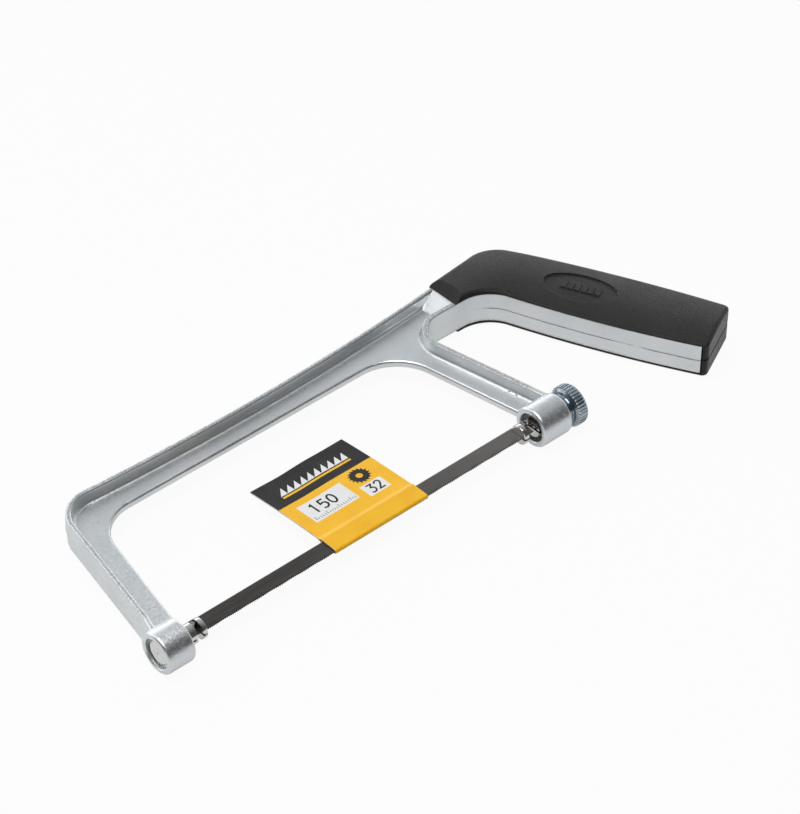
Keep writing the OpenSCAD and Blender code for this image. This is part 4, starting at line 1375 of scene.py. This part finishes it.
def field(u, s, wide, tall):
    """Rectangle that stands on the line s."""
    return [(u, s), (u + wide, s), (u + wide, s - tall), (u, s - tall)]


SAW_PITCH, SAW_TALL, SAW_BASE = 3.0, 4.2, 10
starts = [-15 + SAW_PITCH * i for i in range(10)]
laid("print_saw_row", [[(u, SAW_BASE), (u + SAW_PITCH, SAW_BASE),
                        (u + SAW_PITCH, SAW_BASE - SAW_TALL)] for u in starts], white_ink)
laid("print_bar", [field(u, 11.6, SAW_PITCH, 1) for u in starts], amber_ink)
ticks = [field(-14.5 + i, 28.6, 0.2, 1.0 if i % 5 else 1.8) for i in range(18)]
laid("print_length", figures("150", 5.2, -12.5, 25.6) + ticks, black_ink)
laid("print_pitch", figures("32", 4.6, 8.1, 31), black_ink)
# A toothed disc stands between the band and the small panel.
DISC = Vector((11, 20.4))


def round_about(radius, i, of):
    turn = tau * i / of
    return DISC + radius * Vector((cos(turn), sin(turn)))


def round_piece(i, of, *steps):
    """Piece i of a round, with its corners at these radii and whole steps further round."""
    return [round_about(radius, i + step, of) for radius, step in steps]


laid("print_disc", [round_piece(i, 32, (1.3, 0), (3.4, 0), (3.4, 1), (1.3, 1)) for i in range(32)]
     + [round_piece(i, 16, (3.35, 0), (4.3, 0), (3.35, 1)) for i in range(16)], black_ink)
dress(sleeve, "sleeve", "sleeve", ["blade_sleeve"], amber_ink, bare_card, black_ink, white_ink,
      sharp=50)

# %% [markdown]
# ## Table and light
# The saw lies on a plain white table. To the camera, and partly in reflections, the table is white
# of its own, while a share of ordinary matt white keeps the soft shadow under the saw. The light
# is a large soft box overhead and a weak one beyond the front corner of the bow, with little from
# the camera's side, because in the photograph the faces turned that way are dark.

# %% Table
table_white, tree, shader = finish("white_table")[:3]
tree.nodes.remove(shader)
rays = add(tree, "LightPath")
seen = add(tree, "Math", (rays.outputs["Is Camera Ray"], rays.outputs["Is Transmission Ray"]),
           operation="MAXIMUM")
# Most of what the camera sees of the table is its own white; the rest takes the soft shadow.
# The metal mirrors more of the real, shaded table close to it.
OWN_SHARE, MIRRORED_SHARE = 0.94, 0.38
mirrored = add(tree, "Math", (rays.outputs["Is Glossy Ray"], MIRRORED_SHARE), operation="MULTIPLY")
own_light = add(tree, "Math", (seen, OWN_SHARE, mirrored), operation="MULTIPLY_ADD")
white = add(tree, "Emission", {"Color": (1, 1, 1, 1), "Strength": 1.0})
matt = add(tree, "BsdfDiffuse", {"Color": colour("d8d8d8")})
mixed = add(tree, "MixShader", (own_light, matt, white))
feed(tree.nodes["Material Output"], {"Surface": mixed})
TABLE_REACH = 12
mesh = bpy.data.meshes.new("table_top")
mesh.from_pydata([(x * TABLE_REACH, y * TABLE_REACH, -0.00002) for x, y in
                  ((-1, -1), (1, -1), (1, 1), (-1, 1))], [], [(0, 1, 2, 3)])
table_top = shown("table_top", mesh)
mesh.materials.append(table_white)
table_top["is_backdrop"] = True
print("Table", 2 * TABLE_REACH, "m wide")

# %% [markdown]
# The lamps give the grip and the edges their highlights. Bare metal has no tone of its own and
# shows the room instead, so the room's brightness is drawn as a slope from dark to light.

# %% Lamps and surroundings


def soft_box(name, place, size, power):
    """Square lamp that looks at the middle of the saw."""
    lamp = bpy.data.lights.new(name, "AREA")
    lamp.shape, lamp.size, lamp.energy = "SQUARE", size, power
    holder = shown(name, lamp)
    holder.location = place
    holder.rotation_euler = (-Vector(place)).to_track_quat("-Z", "Y").to_euler()


soft_box("box_overhead", (-0.33, -0.1, 1.38), 1.0, 13)
soft_box("box_left", (-0.69, 0.92, 0.97), 0.8, 1.9)
# The room is darker on the side of the camera, which gives the metal its dark faces, and has a
# bright sweep low at the back, which the grip mirrors along its far side.
room = bpy.data.worlds.new("grey_room")
bpy.context.scene.world = room
room.use_nodes = True
tree = room.node_tree
way = add(tree, "TexCoord").outputs["Generated"]
rearward = add(tree, "VectorMath", (way, (0.45, 0.89, 0)), operation="DOT_PRODUCT")
height = add(tree, "SeparateXYZ", (way,))
level = add(tree, "MapRange", (rearward, -0.35, 0.8, 0.1, 0.68))
low_down = add(tree, "MapRange", (height.outputs["Z"], 0.62, 0.2, 0.0, 1.6),
               interpolation_type="SMOOTHSTEP")
at_back = add(tree, "MapRange", (rearward, 0.2, 0.7), interpolation_type="SMOOTHSTEP")
strength = add(tree, "Math", (low_down, at_back, level), operation="MULTIPLY_ADD")
feed(tree.nodes["Background"], {"Color": colour("e8ebee"), "Strength": strength})
bpy.context.scene.view_settings.view_transform = "Standard"

# %% Size of the dressed saw
low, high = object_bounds()
print("Dressed ", [round(v * 1000, 2) for v in (*low, *high)])
